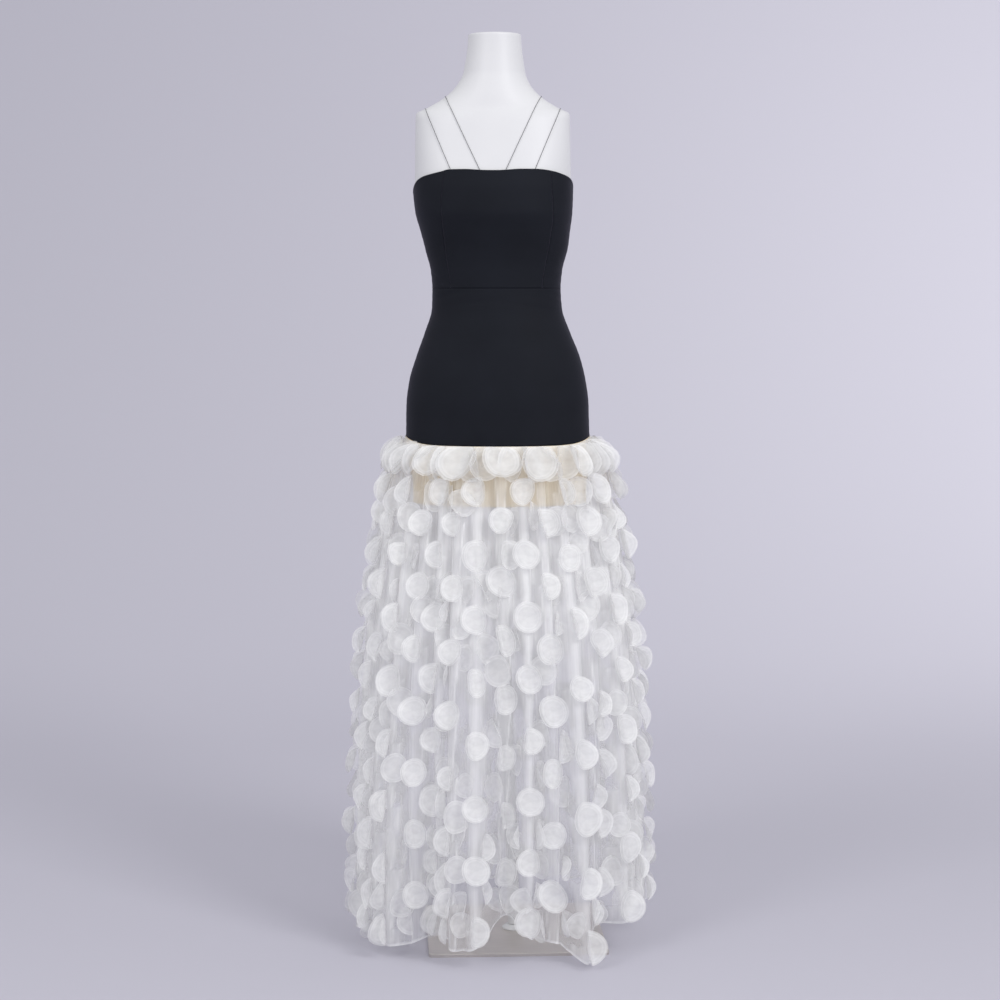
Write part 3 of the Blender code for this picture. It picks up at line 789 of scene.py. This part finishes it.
def make_black_panels(finish):
    """The fitted bodice, cut at the waist, and the hip pieces below it."""

    def fixed(turn):
        return lambda z: radians(turn)

    def beside_zip(side):
        return lambda z: angle_at(z, side * ZIP_WIDTH / 2, True)

    def left_seam(z):
        return seam_angle(z, "left")

    def right_seam(z):
        return seam_angle(z, "right")

    def waist(angle):
        return WAIST_Z

    def black_hem(angle):
        return BLACK_HEM_Z + hem_shift(angle)

    # The bottom and top edge of each part, and the rows of its meshes
    bodice = (waist, top_edge_z), 90
    hip = (black_hem, waist), 100
    panels = (
        ("bodice_front", bodice, left_seam, right_seam, (0.210, 0.215), 0.0411, 90),
        ("bodice_side_left", bodice, fixed(-90), left_seam, (0.110, 0.211), 0.0178, 50),
        ("bodice_side_right", bodice, right_seam, fixed(90), (0.100, 0.211), 0.0165, 50),
        ("bodice_back_left", bodice, beside_zip(-1), fixed(-90), (0.185, 0.178), 0.0281, 80),
        ("bodice_back_right", bodice, fixed(90), beside_zip(1), (0.185, 0.178), 0.0281, 80),
        ("hip_front", hip, fixed(-90), fixed(90), (0.430, 0.275), 0.1100, 150),
        ("hip_back_left", hip, beside_zip(-1), fixed(-90), (0.228, 0.275), 0.0570, 80),
        ("hip_back_right", hip, fixed(90), beside_zip(1), (0.228, 0.275), 0.0570, 80),
    )
    for name, (edges, rows), first, last, flat, area, columns in panels:
        make_panel(name, finish, (first, last), edges, flat, (columns, rows))


def make_zip(tape, enamel):
    """The concealed zip: a narrow tape with its coil, and the slider with its pull."""
    length = top_edge_z(pi) - BLACK_HEM_Z

    def place(across, up):
        z = BLACK_HEM_Z + length * up
        side = (0.5 - across) * 2
        out = CLOTH_CLEARANCE + CREPE - ZIP_SINK * (1 - side**2)
        return on_section(figure_section(z), pi, out) + Vector((side * ZIP_WIDTH / 2, 0, 0))

    bm = sheet_bmesh(8, 160, place, (ZIP_WIDTH, length))
    thicken(add_piece("zip_tape", bm, tape, ["zip_chain"]), ZIP_TAPE)

    bm = bmesh.new()
    for i in range(int(length / TOOTH_PITCH)):
        z = BLACK_HEM_Z + (i + 0.5) * TOOTH_PITCH
        side = 1 if i % 2 else -1
        seat = on_section(figure_section(z), pi, CLOTH_CLEARANCE + CREPE)
        add_block(bm, TOOTH_SIZE, seat + Vector((side * TOOTH_OFFSET, -0.0001, 0)))
    add_piece("zip_teeth", bm, enamel)

    slider_z = top_edge_z(pi) - SLIDER_BELOW_TOP
    seat = on_section(figure_section(slider_z), pi, CLOTH_CLEARANCE + CREPE)
    bm = bmesh.new()
    body_size = (SLIDER_WIDTH, SLIDER_THICKNESS * 0.6, SLIDER_LENGTH * 0.75)
    body = add_block(bm, body_size, (0, SLIDER_THICKNESS * 0.30, SLIDER_LENGTH * 0.125))
    narrow = [vert for vert in body if vert.co.z < 0]
    bmesh.ops.scale(bm, verts=narrow, vec=(0.7, 1.0, 1.0))
    pull_size = (SLIDER_WIDTH * 0.55, SLIDER_THICKNESS * 0.32, SLIDER_LENGTH * 0.85)
    add_block(bm, pull_size, (0, SLIDER_THICKNESS * 0.80, -SLIDER_LENGTH * 0.075))
    bmesh.ops.bevel(
        bm, geom=bm.edges[:], offset=0.0003, segments=2, profile=0.5, affect="EDGES", material=-1
    )
    bmesh.ops.translate(bm, verts=bm.verts, vec=seat + Vector((0, 2 * SEAM_GAP, 0)))
    add_piece("slider_and_pull", bm, enamel, ["zip_slider"])


def angle_at(z, offset, back):
    """Angle of the figure's point that lies so far from its centre line, on its front or its back."""
    section = figure_section(z)
    angle = asin(min(1.0, (abs(offset) / section.half_width) ** (section.power / 2)))
    return copysign(pi - angle if back else angle, offset)


def edge_height(offset, back):
    """Height of the top edge where a cord meets it."""
    z = top_edge_z(pi if back else 0.0)
    for _ in range(4):
        z = top_edge_z(angle_at(z, offset, back))
    return z


def shoulder_height(offset):
    """Height of the shoulder's ridge so far from the centre line."""
    low, high = SHOULDER_Z
    for _ in range(30):
        middle = (low + high) / 2
        if figure_section(middle).half_width > abs(offset):
            low = middle
        else:
            high = middle
    return low


def off_figure(z, angle):
    """The direction straight off the figure's surface."""
    here = figure_section(z)
    along = on_section(here, angle + 0.02) - on_section(here, angle - 0.02)
    up = on_section(figure_section(z + 0.002), angle) - on_section(figure_section(z - 0.002), angle)
    return along.cross(up).normalized()


def cord_route(cord, side):
    """Points just off the form under one cord, from the front edge over the shoulder to the back edge."""
    ridge = side * cord.shoulder
    top = shoulder_height(ridge)
    route = []
    for edge, back in ((side * cord.front, False), (side * cord.back, True)):
        bottom = edge_height(edge, back)
        half = []
        for step in range(CORD_STEPS + 1):
            share = sin(pi / 2 * step / CORD_STEPS)
            z = bottom + (top - bottom) * share
            angle = angle_at(z, edge + (ridge - edge) * share, back)
            half.append(on_section(figure_section(z), angle) + off_figure(z, angle) * CORD_LIFT)
        route += reversed(half[:-1]) if back else half
    return route


def make_shoulder_cords(finish):
    """The four thin cords, each a round cord laid over the shoulder."""
    for cord in SHOULDER_CORDS:
        for side, side_name in ((-1, "left"), (1, "right")):
            route = cord_route(cord, side)
            curve = bpy.data.curves.new("cord route", "CURVE")
            curve.dimensions = "3D"
            curve.bevel_depth = CORD_RADIUS
            curve.bevel_resolution = 2
            curve.use_fill_caps = True
            spline = curve.splines.new("POLY")
            spline.points.add(len(route) - 1)
            for point, spot in zip(spline.points, route):
                point.co = (*spot, 1.0)
            guide = bpy.data.objects.new("cord guide", curve)
            mesh = bpy.data.meshes.new_from_object(guide)
            bm = bmesh.new()
            bm.from_mesh(mesh)
            bpy.data.objects.remove(guide)
            node = f"shoulder_cord_{cord.name}_{side_name}"
            add_piece(f"cord_{cord.name}_{side_name}", bm, finish, [node])


def make_slip(finish):
    """The cream underskirt, with soft folds that open out below the black hem."""

    def place(across, up):
        angle = 2 * pi * across
        z = SLIP_HEM_Z + (gathered_z(angle) - SLIP_HEM_Z) * up
        section = figure_section(max(z, FIGURE[0].height))._replace(height=z)
        hang = min(1.0, (SKIRT_TOP_Z - z) / SLIP_HANGS_FREE)
        folds = sin(23 * angle + 1.3 * sin(3 * angle)) + 0.5 * sin(41 * angle + 2.0)
        out = CLOTH_CLEARANCE + 0.0010 + hang * (SLIP_STANDS_OFF + SLIP_FOLD * folds)
        return on_section(section, angle, out)

    bm = sheet_bmesh(480, 30, place, SLIP_FLAT, closed=True)
    obj = thicken(add_piece("slip_cloth", bm, finish, ["slip"]), SLIP_CLOTH)


def fold_turn(step):
    """Angle round the skirt of a furrow, at a whole step, or of the ridge after it, at the half."""
    turn = -pi / 2 + 2 * pi * step / FOLDS
    shift = FOLD_UNEVENNESS * sin(7 * turn) - FOLD_SHIFT
    return turn - FOLD_CROWDING * sin(2 * turn) + shift * cos(turn) ** 2


def in_bays(turn, value):
    """The sum at an angle of one value of the bays, each fading to its sides."""
    total = 0.0
    for bay in BAYS:
        off = remainder(degrees(turn) - bay.angle, 360) / bay.half_width
        total += getattr(bay, value) * exp(-(off**2))
    return total


def hem_z(turn):
    """Height of the skirt's lower edge."""
    return HEM_Z + HEM_SLANT * sin(turn) + in_bays(turn, "rise")


def furrow_share(step):
    """Each furrow's own depth, as a share of its ring's fold depth."""
    return 1.0 + 0.30 * sin(2.4 * step + 0.7) + 0.15 * sin(5.1 * step)


_flare_rows = {}


def flare_at(z, hem):
    """The skirt's section at a height, where the last stretch reaches down to this angle's hem."""
    lowest = SKIRT[-2].height
    level = z if z >= lowest else lowest - (lowest - z) * (lowest - HEM_Z) / (lowest - hem)
    key = round(level, 5)
    if key not in _flare_rows:
        _flare_rows[key] = smooth_row(SKIRT, key)
    return _flare_rows[key]


def skirt_point(step, z, inwards=0.0):
    """A point of the skirt at a place among the folds and a height."""
    turn = fold_turn(step)
    flare = flare_at(z, hem_z(turn))
    bay = in_bays(turn, "depth") * max(0.0, (BAY_TOP_Z - z) / (BAY_TOP_Z - HEM_Z)) ** BAY_GROWTH
    point = on_section(flare, turn, -inwards - bay)
    point.z = z
    return point


def fold_profile(step):
    """How far into a fold a place lies, from 0 on its ridge to 1 in its furrow."""
    return (0.5 + 0.5 * cos(2 * pi * step)) ** FURROW_SHARPNESS


def fine_folds(step, z):
    """The small folds on top of the large ones, in metres inwards."""
    below = SKIRT_TOP_Z - z
    waves = sin(2 * pi * 5 * step + 2.0 * sin(3 * step))
    gathers = GATHER_FOLD * waves * fade(below, GATHER_DEPTH) * min(1.0, below / 0.004)
    hang = min(1.0, max(0.0, below - 0.02) / 0.15)
    drift = sin(2.3 * step + 5.0 * z) + sin(4.7 * step - 8.0 * z + 1.0)
    pleats = sin(2 * pi * 3 * step + 1.5 * sin(9 * z + step))
    return gathers + hang * (SOFT_FOLD + SOFT_DRIFT * drift + SOFT_PLEAT * pleats)


def cloth_point(step, z):
    """A point of the organza with its folds."""
    flare = flare_at(z, hem_z(fold_turn(step)))
    share = flare.fold_depth * furrow_share(round(step) % FOLDS) * fold_profile(step)
    return skirt_point(step, z, share + fine_folds(step, z))


def sheer_density(step, z):
    """How dense the organza looks at a place: round the folds, at the hem and in the gathers."""
    below = SKIRT_TOP_Z - z
    hang = min(1.0, below / 0.12)
    off_ridge = abs(remainder(step - 0.5, 1.0))
    fold = floor(step) % FOLDS
    own = 0.75 + 0.45 * sin(2.9 * fold + 0.8 * sin(5 * z))
    since_disc = ((FIRST_ROW_Z - z) / row_pitch(fold) - fold % 2) / 2 % 1
    wide = BAR_BELOW + (BAR_ABOVE - BAR_BELOW) * since_disc + 0.04 * sin(4.3 * fold + 9 * z)
    upper = SHEER_UPPER * fade(z - UPPER_Z, UPPER_SPREAD)
    folded = SHEER_FOLD * own * fade(off_ridge, 1.5 * wide)
    folded += SHEER_EDGE * (1.6 - own) * fade(off_ridge - wide, 0.06)
    value = SHEER_FURROW + upper + folded * hang * (1 - upper)
    value += SHEER_GATHER * fade(below, GATHER_DEPTH * 0.6)
    return max(value, SHEER_HEM * fade(z - hem_z(fold_turn(step)), HEM_ROLL))


def make_skirt_half(name, finish, first_fold, trims):
    """Half of the organza skirt, gathered into the black hem, with a rolled hem and side seams."""
    folds = len(trims)
    columns = folds * COLUMNS_A_FOLD
    bm = sheet_bmesh(columns, SKIRT_ROWS, lambda across, up: Vector((across, up, 0)), ORGANZA_FLAT)
    layer = bm.verts.layers.float.new("Density")
    for vert in bm.verts:
        across, up = vert.co.x, vert.co.y
        step = first_fold + folds * across
        turn = fold_turn(step)
        z = hem_z(turn) + (gathered_z(turn) - hem_z(turn)) * up
        seam = min(across, 1 - across) * folds
        vert[layer] = max(sheer_density(step, z), SHEER_SEAM * fade(seam, 0.10))
        vert.co = cloth_point(step, z)
    obj = add_piece(name, bm, finish, [name.replace("organza_", "skirt_")], smooth=180)
    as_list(trims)


Disc = namedtuple("Disc", "z radius left_lift right_lift tail")


def row_pitch(fold):
    """Distance between the rows of appliques, which share out the height from the first row to the hem."""
    return (FIRST_ROW_Z - LAST_ROW_ABOVE_HEM - hem_z(fold_turn(fold + 0.5))) / (DISC_ROWS - 1)


def disc_plan():
    """Every large applique's height, radius, folded wings and how far its tail stands off."""
    pick = random.Random(DISC_SEED)
    plan = []
    for fold in range(FOLDS):
        pitch = row_pitch(fold)
        column = []
        for row in range(fold % 2, DISC_ROWS, 2):
            drawn = pick.random()
            kind = next(kind for kind in FOLD_KINDS if drawn < kind.limit)
            lifts = [pick.uniform(*kind.one_wing), pick.uniform(*kind.other_wing)]
            if pick.random() < 0.5:
                lifts.reverse()
            radius = DISC_RADIUS * pick.uniform(0.94, 1.06)
            tail = pick.uniform(0.0, 0.003)
            height = FIRST_ROW_Z - pitch * row
            column.append(Disc(height, radius, radians(lifts[0]), radians(lifts[1]), tail))
        plan.append(column)
    return plan


Petal = namedtuple("Petal", "oval oval_turn wave wave_turn curl pinch")
Seat = namedtuple("Seat", "centre along down out ceiling")


def new_petal(pick, first_row=False):
    """One applique's own small departures from a flat round disc. Those of the first row hang pinched."""
    return Petal(
        oval=pick.uniform(0.0, 0.07),
        oval_turn=pick.uniform(0, 2 * pi),
        wave=pick.uniform(0.02, 0.09),
        wave_turn=pick.uniform(0, 2 * pi),
        curl=pick.uniform(0.0, 0.16),
        pinch=pick.uniform(0.2, 0.7) if first_row else 0.0,
    )


def seat_on(upper, lower, along, ceiling):
    """Where an applique sits, from the ends of its stitched line and the cloth's level direction.

    None of it goes above the ceiling.
    """
    down = (lower - upper).normalized()
    out = along.cross(-down).normalized()
    return Seat((upper + lower) / 2, out.cross(down), down, out, ceiling)


def turned_seat(seat, turn):
    """The same seat turned in its own plane by so many radians."""
    along = seat.along * cos(turn) + seat.down * sin(turn)
    down = seat.down * cos(turn) - seat.along * sin(turn)
    return Seat(seat.centre, along, down, seat.out, seat.ceiling)


def add_wing(bm, uv, seat, radius, side, lift, layer, petal):
    """Half of one round layer, from its fold out to its rim."""
    made = bmesh.ops.create_grid(bm, x_segments=WING_COLUMNS, y_segments=WING_ROWS, size=0.5)["verts"]
    angle = min(lift + layer.extra_lift, MOST_LIFT)
    softness = SHARP_BEND if lift > SHARP_FOLD else SOFT_BEND
    shares = {}
    for vert in made:
        beta = (vert.co.y + 0.5) * pi
        shares[vert] = ((vert.co.x + 0.5) * sin(beta), -cos(beta))
    faces = {face for vert in made for face in vert.link_faces}
    for face in faces:
        for loop in face.loops:
            sideways, below = shares[loop.vert]
            loop[uv].uv = (side * sideways, -below)
    for vert in made:
        sideways, below = shares[vert]
        turn = atan2(side * sideways, below)
        rim = sideways**2 + below**2
        grown = radius * layer.size * (1 + petal.oval * sin(2 * turn + petal.oval_turn))
        reach = sideways * grown * (1 - petal.pinch * (1 - below) / 2)
        bend = angle * (1 - softness + softness * RIM_BEND * sideways)
        off = reach * sin(bend) + layer.offset
        off += grown * rim * petal.wave * (1 + sin(3 * turn + petal.wave_turn))
        off += grown * rim**2 * petal.curl * (0.5 + 0.5 * below)
        out_along = seat.along * side * reach * cos(bend)
        vert.co = seat.centre + out_along + seat.down * below * grown + seat.out * off
        vert.co.z = min(vert.co.z, seat.ceiling)
    if side > 0:
        bmesh.ops.reverse_faces(bm, faces=list(faces))


def add_applique(bm, uv, seat, radius, lifts, petal, layers=LAYERS):
    """One applique, with both wings of each of its layers."""
    for layer in layers:
        for side, lift in zip((-1, 1), lifts):
            add_wing(bm, uv, seat, radius, side, lift, layer, petal)


def along_ridge(ridge, z):
    """Level direction along the skirt at a ridge, towards larger angles."""
    ends = [skirt_point(ridge + nudge, z) for nudge in (-0.1, 0.1)]
    return (ends[1] - ends[0]).normalized()


def first_row_size(step):
    """Share of the planned radius in the first row, the largest at the front and the back."""
    return FIRST_ROW_SIZE + FIRST_ROW_EXTRA * cos(fold_turn(step)) ** 2


def add_ridge_discs(bm, uv, fold, column, pick):
    """The large appliques down one fold ridge, where the plan puts them."""
    ridge = fold + 0.5
    seam = gathered_z(fold_turn(ridge))
    for disc in column:
        first_row = disc.z > FIRST_ROW_Z - 0.001
        radius = disc.radius * (first_row_size(ridge) if first_row else pick.uniform(*DISC_SIZE))
        middle = disc.z + (FIRST_ROW_RAISE if first_row else 0.0)
        along = along_ridge(ridge, disc.z)
        upper = skirt_point(ridge, min(middle + radius, seam), -DISC_SEWN_OFF)
        lower = skirt_point(ridge, middle - radius, -DISC_SEWN_OFF)
        flat = seat_on(upper, lower, along, seam)
        bulge = max(0.0, (skirt_point(ridge, disc.z) - upper).dot(flat.out))
        tail = bulge + disc.tail + pick.uniform(*DISC_TAIL)
        seat = seat_on(upper + flat.out * bulge, lower + flat.out * tail, along, seam)
        lifts = []
        for side, lift in ((-1, disc.left_lift), (1, disc.right_lift)):
            away = skirt_point((fold + side) % FOLDS + 0.5, disc.z) - seat.centre
            clear = atan2(away.dot(seat.out), away.dot(seat.along * side)) + NEIGHBOUR_LIFT
            lifts.append(max(lift * (pick.uniform(*FOLDED_SHARE) if lift > SHARP_FOLD else 1), clear))
        if pick.random() < LIFTED_CHANCE and max(lifts) < SHARP_FOLD:
            lifts[pick.choice((0, 1))] += radians(pick.uniform(*LIFTED_MORE))
        turn = pick.uniform(-DISC_TURN, DISC_TURN) * (1 if max(lifts) < SHARP_FOLD else FOLDED_TURN)
        turn *= FIRST_ROW_TURN if first_row else 1.0
        add_applique(bm, uv, turned_seat(seat, turn), radius, lifts, new_petal(pick, first_row))


def add_flank_discs(bm, uv, fold, pick):
    """The smaller appliques that lie back on the flanks of a fold, and between those of the first row."""
    ridge = fold + 0.5
    seam = gathered_z(fold_turn(ridge))
    pitch = row_pitch(fold)
    for row in range(1 - fold % 2, DISC_ROWS, 2):
        first_row = row == 0
        count = 2 if row in FULL_ROWS else pick.choice(FLANK_COUNTS)
        way = pick.choice((-1, 1))
        for _ in range(count):
            way = -way
            drift = 0.0 if first_row else pick.uniform(-FLANK_DRIFT, FLANK_DRIFT)
            z = FIRST_ROW_Z - pitch * (row + drift)
            radius = DISC_RADIUS * (first_row_size(ridge) if first_row else pick.uniform(*FLANK_SIZE))
            step = ridge + way * pick.uniform(*FLANK_SHIFT)
            z = max(z, hem_z(fold_turn(step)) + radius)
            ends = [cloth_point(step + nudge, z) for nudge in (-0.05, 0.05)]
            sewn = radius * FLANK_SEWN_SHARE
            upper = cloth_point(step, min(z + sewn, seam))
            seat = seat_on(upper, cloth_point(step, z - sewn), ends[1] - ends[0], seam)
            seat = seat._replace(centre=seat.centre + seat.out * FLANK_SEWN_OFF)
            steepest = FIRST_ROW_STEEPEST if first_row else FLANK_STEEPEST
            lifts = [radians(pick.uniform(4, steepest)) for _ in range(2)]
            seat = turned_seat(seat, pick.uniform(-FLANK_TURN, FLANK_TURN))
            add_applique(bm, uv, seat, radius, lifts, new_petal(pick, first_row), LAYERS[:1])


def make_disc_column(fold, column, finish, pick):
    """One column of appliques, with the smaller ones on the flanks of the same fold."""
    bm = bmesh.new()
    uv = bm.loops.layers.uv.new("Petal")
    add_ridge_discs(bm, uv, fold, column, pick)
    add_flank_discs(bm, uv, fold, pick)
    bmesh.ops.remove_doubles(bm, verts=bm.verts, dist=MERGE)
    name = f"{fold + 1:02d}"
    return add_piece(f"appliques_{name}", bm, finish, [f"disc_column_{name}"], smooth=180)


def make_stand(steel, white):
    """The base plate keeps its CAD shape. The flange and the pole get their fine round forms."""
    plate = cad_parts["stand_plate"]
    plate.data.materials.clear()
    plate.data.materials.append(steel)

    bm = bmesh.new()
    bottom = PLATE_THICKNESS + SEAM_GAP
    profile = [(0.0, bottom), (FLANGE_RADIUS, bottom), (FLANGE_RADIUS, bottom + FLANGE_RIM)]
    profile += [(FLANGE_TOP_RADIUS, bottom + FLANGE_HEIGHT), (0.0, bottom + FLANGE_HEIGHT)]
    spots, edges = add_line(bm, [(PLATE_X + x, 0, z) for x, z in profile])
    centre = (PLATE_X, 0, 0)
    bmesh.ops.spin(
        bm, geom=spots + edges, cent=centre, axis=(0, 0, 1), angle=2 * pi, steps=ROUND_STEPS, use_merge=True
    )
    bmesh.ops.remove_doubles(bm, verts=bm.verts, dist=MERGE)
    bmesh.ops.recalc_face_normals(bm, faces=bm.faces)
    add_piece("stand_flange_turned", bm, white, ["stand_flange"], smooth=30)

    foot = Vector((PLATE_X, 0, PLATE_THICKNESS + FLANGE_HEIGHT + 3 * SEAM_GAP))
    head = Vector((FIGURE[0].centre_x, 0, FORM_UNDERSIDE_Z - 2 * SEAM_GAP))
    axis = head - foot
    lean = POLE_RADIUS * hypot(axis.x, axis.y) / axis.length
    foot.z += lean
    head.z -= lean
    turned = (head - foot).to_track_quat("Z", "Y").to_matrix().to_4x4()
    turned.translation = (foot + head) / 2
    bm = bmesh.new()
    bmesh.ops.create_cone(
        bm,
        cap_ends=True,
        segments=ROUND_STEPS,
        radius1=POLE_RADIUS,
        radius2=POLE_RADIUS,
        depth=(head - foot).length,
        matrix=turned,
    )
    add_piece("stand_pole_tube", bm, white, ["stand_pole"], smooth=30)


def make_room(finish):
    """A plain pale floor that rises behind in a wide curve."""
    bm = bmesh.new()
    profile = [(ROOM_FRONT_Y, 0.0), (0.0, 0.0)]
    for i in range(COVE_STEPS + 1):
        turn = pi / 2 * i / COVE_STEPS
        profile.append((COVE_Y + COVE_RADIUS * sin(turn), COVE_RADIUS * (1 - cos(turn))))
    _, edges = add_line(bm, [(-ROOM_HALF_WIDTH, y, z) for y, z in profile])
    wide = bmesh.ops.extrude_edge_only(bm, edges=edges)["geom"]
    moved = [item for item in wide if isinstance(item, bmesh.types.BMVert)]
    bmesh.ops.translate(bm, verts=moved, vec=(2 * ROOM_HALF_WIDTH, 0, 0))
    bmesh.ops.recalc_face_normals(bm, faces=bm.faces)
    new_object("backdrop", bm, finish)


def add_softbox(softbox):
    """A soft rectangular light that the camera doesn't see."""
    light = bpy.data.lights.new(softbox.name, "AREA")
    light.shape = "RECTANGLE"
    light.size, light.size_y = softbox.size
    light.energy = softbox.power
    light.spread = radians(softbox.spread)
    box = bpy.data.objects.new(softbox.name, light)
    box.visible_camera = False
    box.location = softbox.place
    aim = Vector(softbox.aim) - box.location
    box.rotation_euler = aim.to_track_quat("-Z", "Y").to_euler()
    bpy.context.scene.collection.objects.link(box)


def make_light_and_camera():
    """Tall soft lights on both sides in an evenly lit room, and the camera at the photographed height."""
    scene = bpy.context.scene
    for softbox in SOFTBOXES:
        add_softbox(softbox)
    world = bpy.data.worlds.new("studio")
    world.use_nodes = True
    background = world.node_tree.nodes["Background"]
    background.inputs["Color"].default_value = (0.95, 0.955, 1.0, 1.0)
    background.inputs["Strength"].default_value = ROOM_LIGHT
    scene.world = world
    scene.view_settings.view_transform = "Standard"
    scene.cycles.transparent_max_bounces = 28

    camera = bpy.data.cameras.new("camera")
    camera.lens = CAMERA_LENS
    camera.sensor_width = 36
    eye = bpy.data.objects.new("camera", camera)
    eye.location = (0, -CAMERA_DISTANCE, CAMERA_Z)
    eye.rotation_euler = (pi / 2 - CAMERA_TILT, 0, 0)
    scene.collection.objects.link(eye)
    scene.camera = eye


def main():
    crepe = crepe_finish()
    organza = organza_finish()
    applique = applique_finish()
    steel = steel_finish()
    make_light_and_camera()
    make_room(backdrop_finish())
    white = form_finish()
    make_form(white)
    make_stand(steel, white)
    make_black_panels(crepe)
    make_zip(crepe, enamel_finish())
    make_shoulder_cords(thread_finish())
    make_slip(lining_finish())
    pick = random.Random(FLANK_SEED)
    columns = [make_disc_column(fold, column, applique, pick) for fold, column in enumerate(disc_plan())]
    half = FOLDS // 2
    make_skirt_half("organza_front", organza, 0, columns[:half])
    make_skirt_half("organza_back", organza, half, columns[half:])


main()
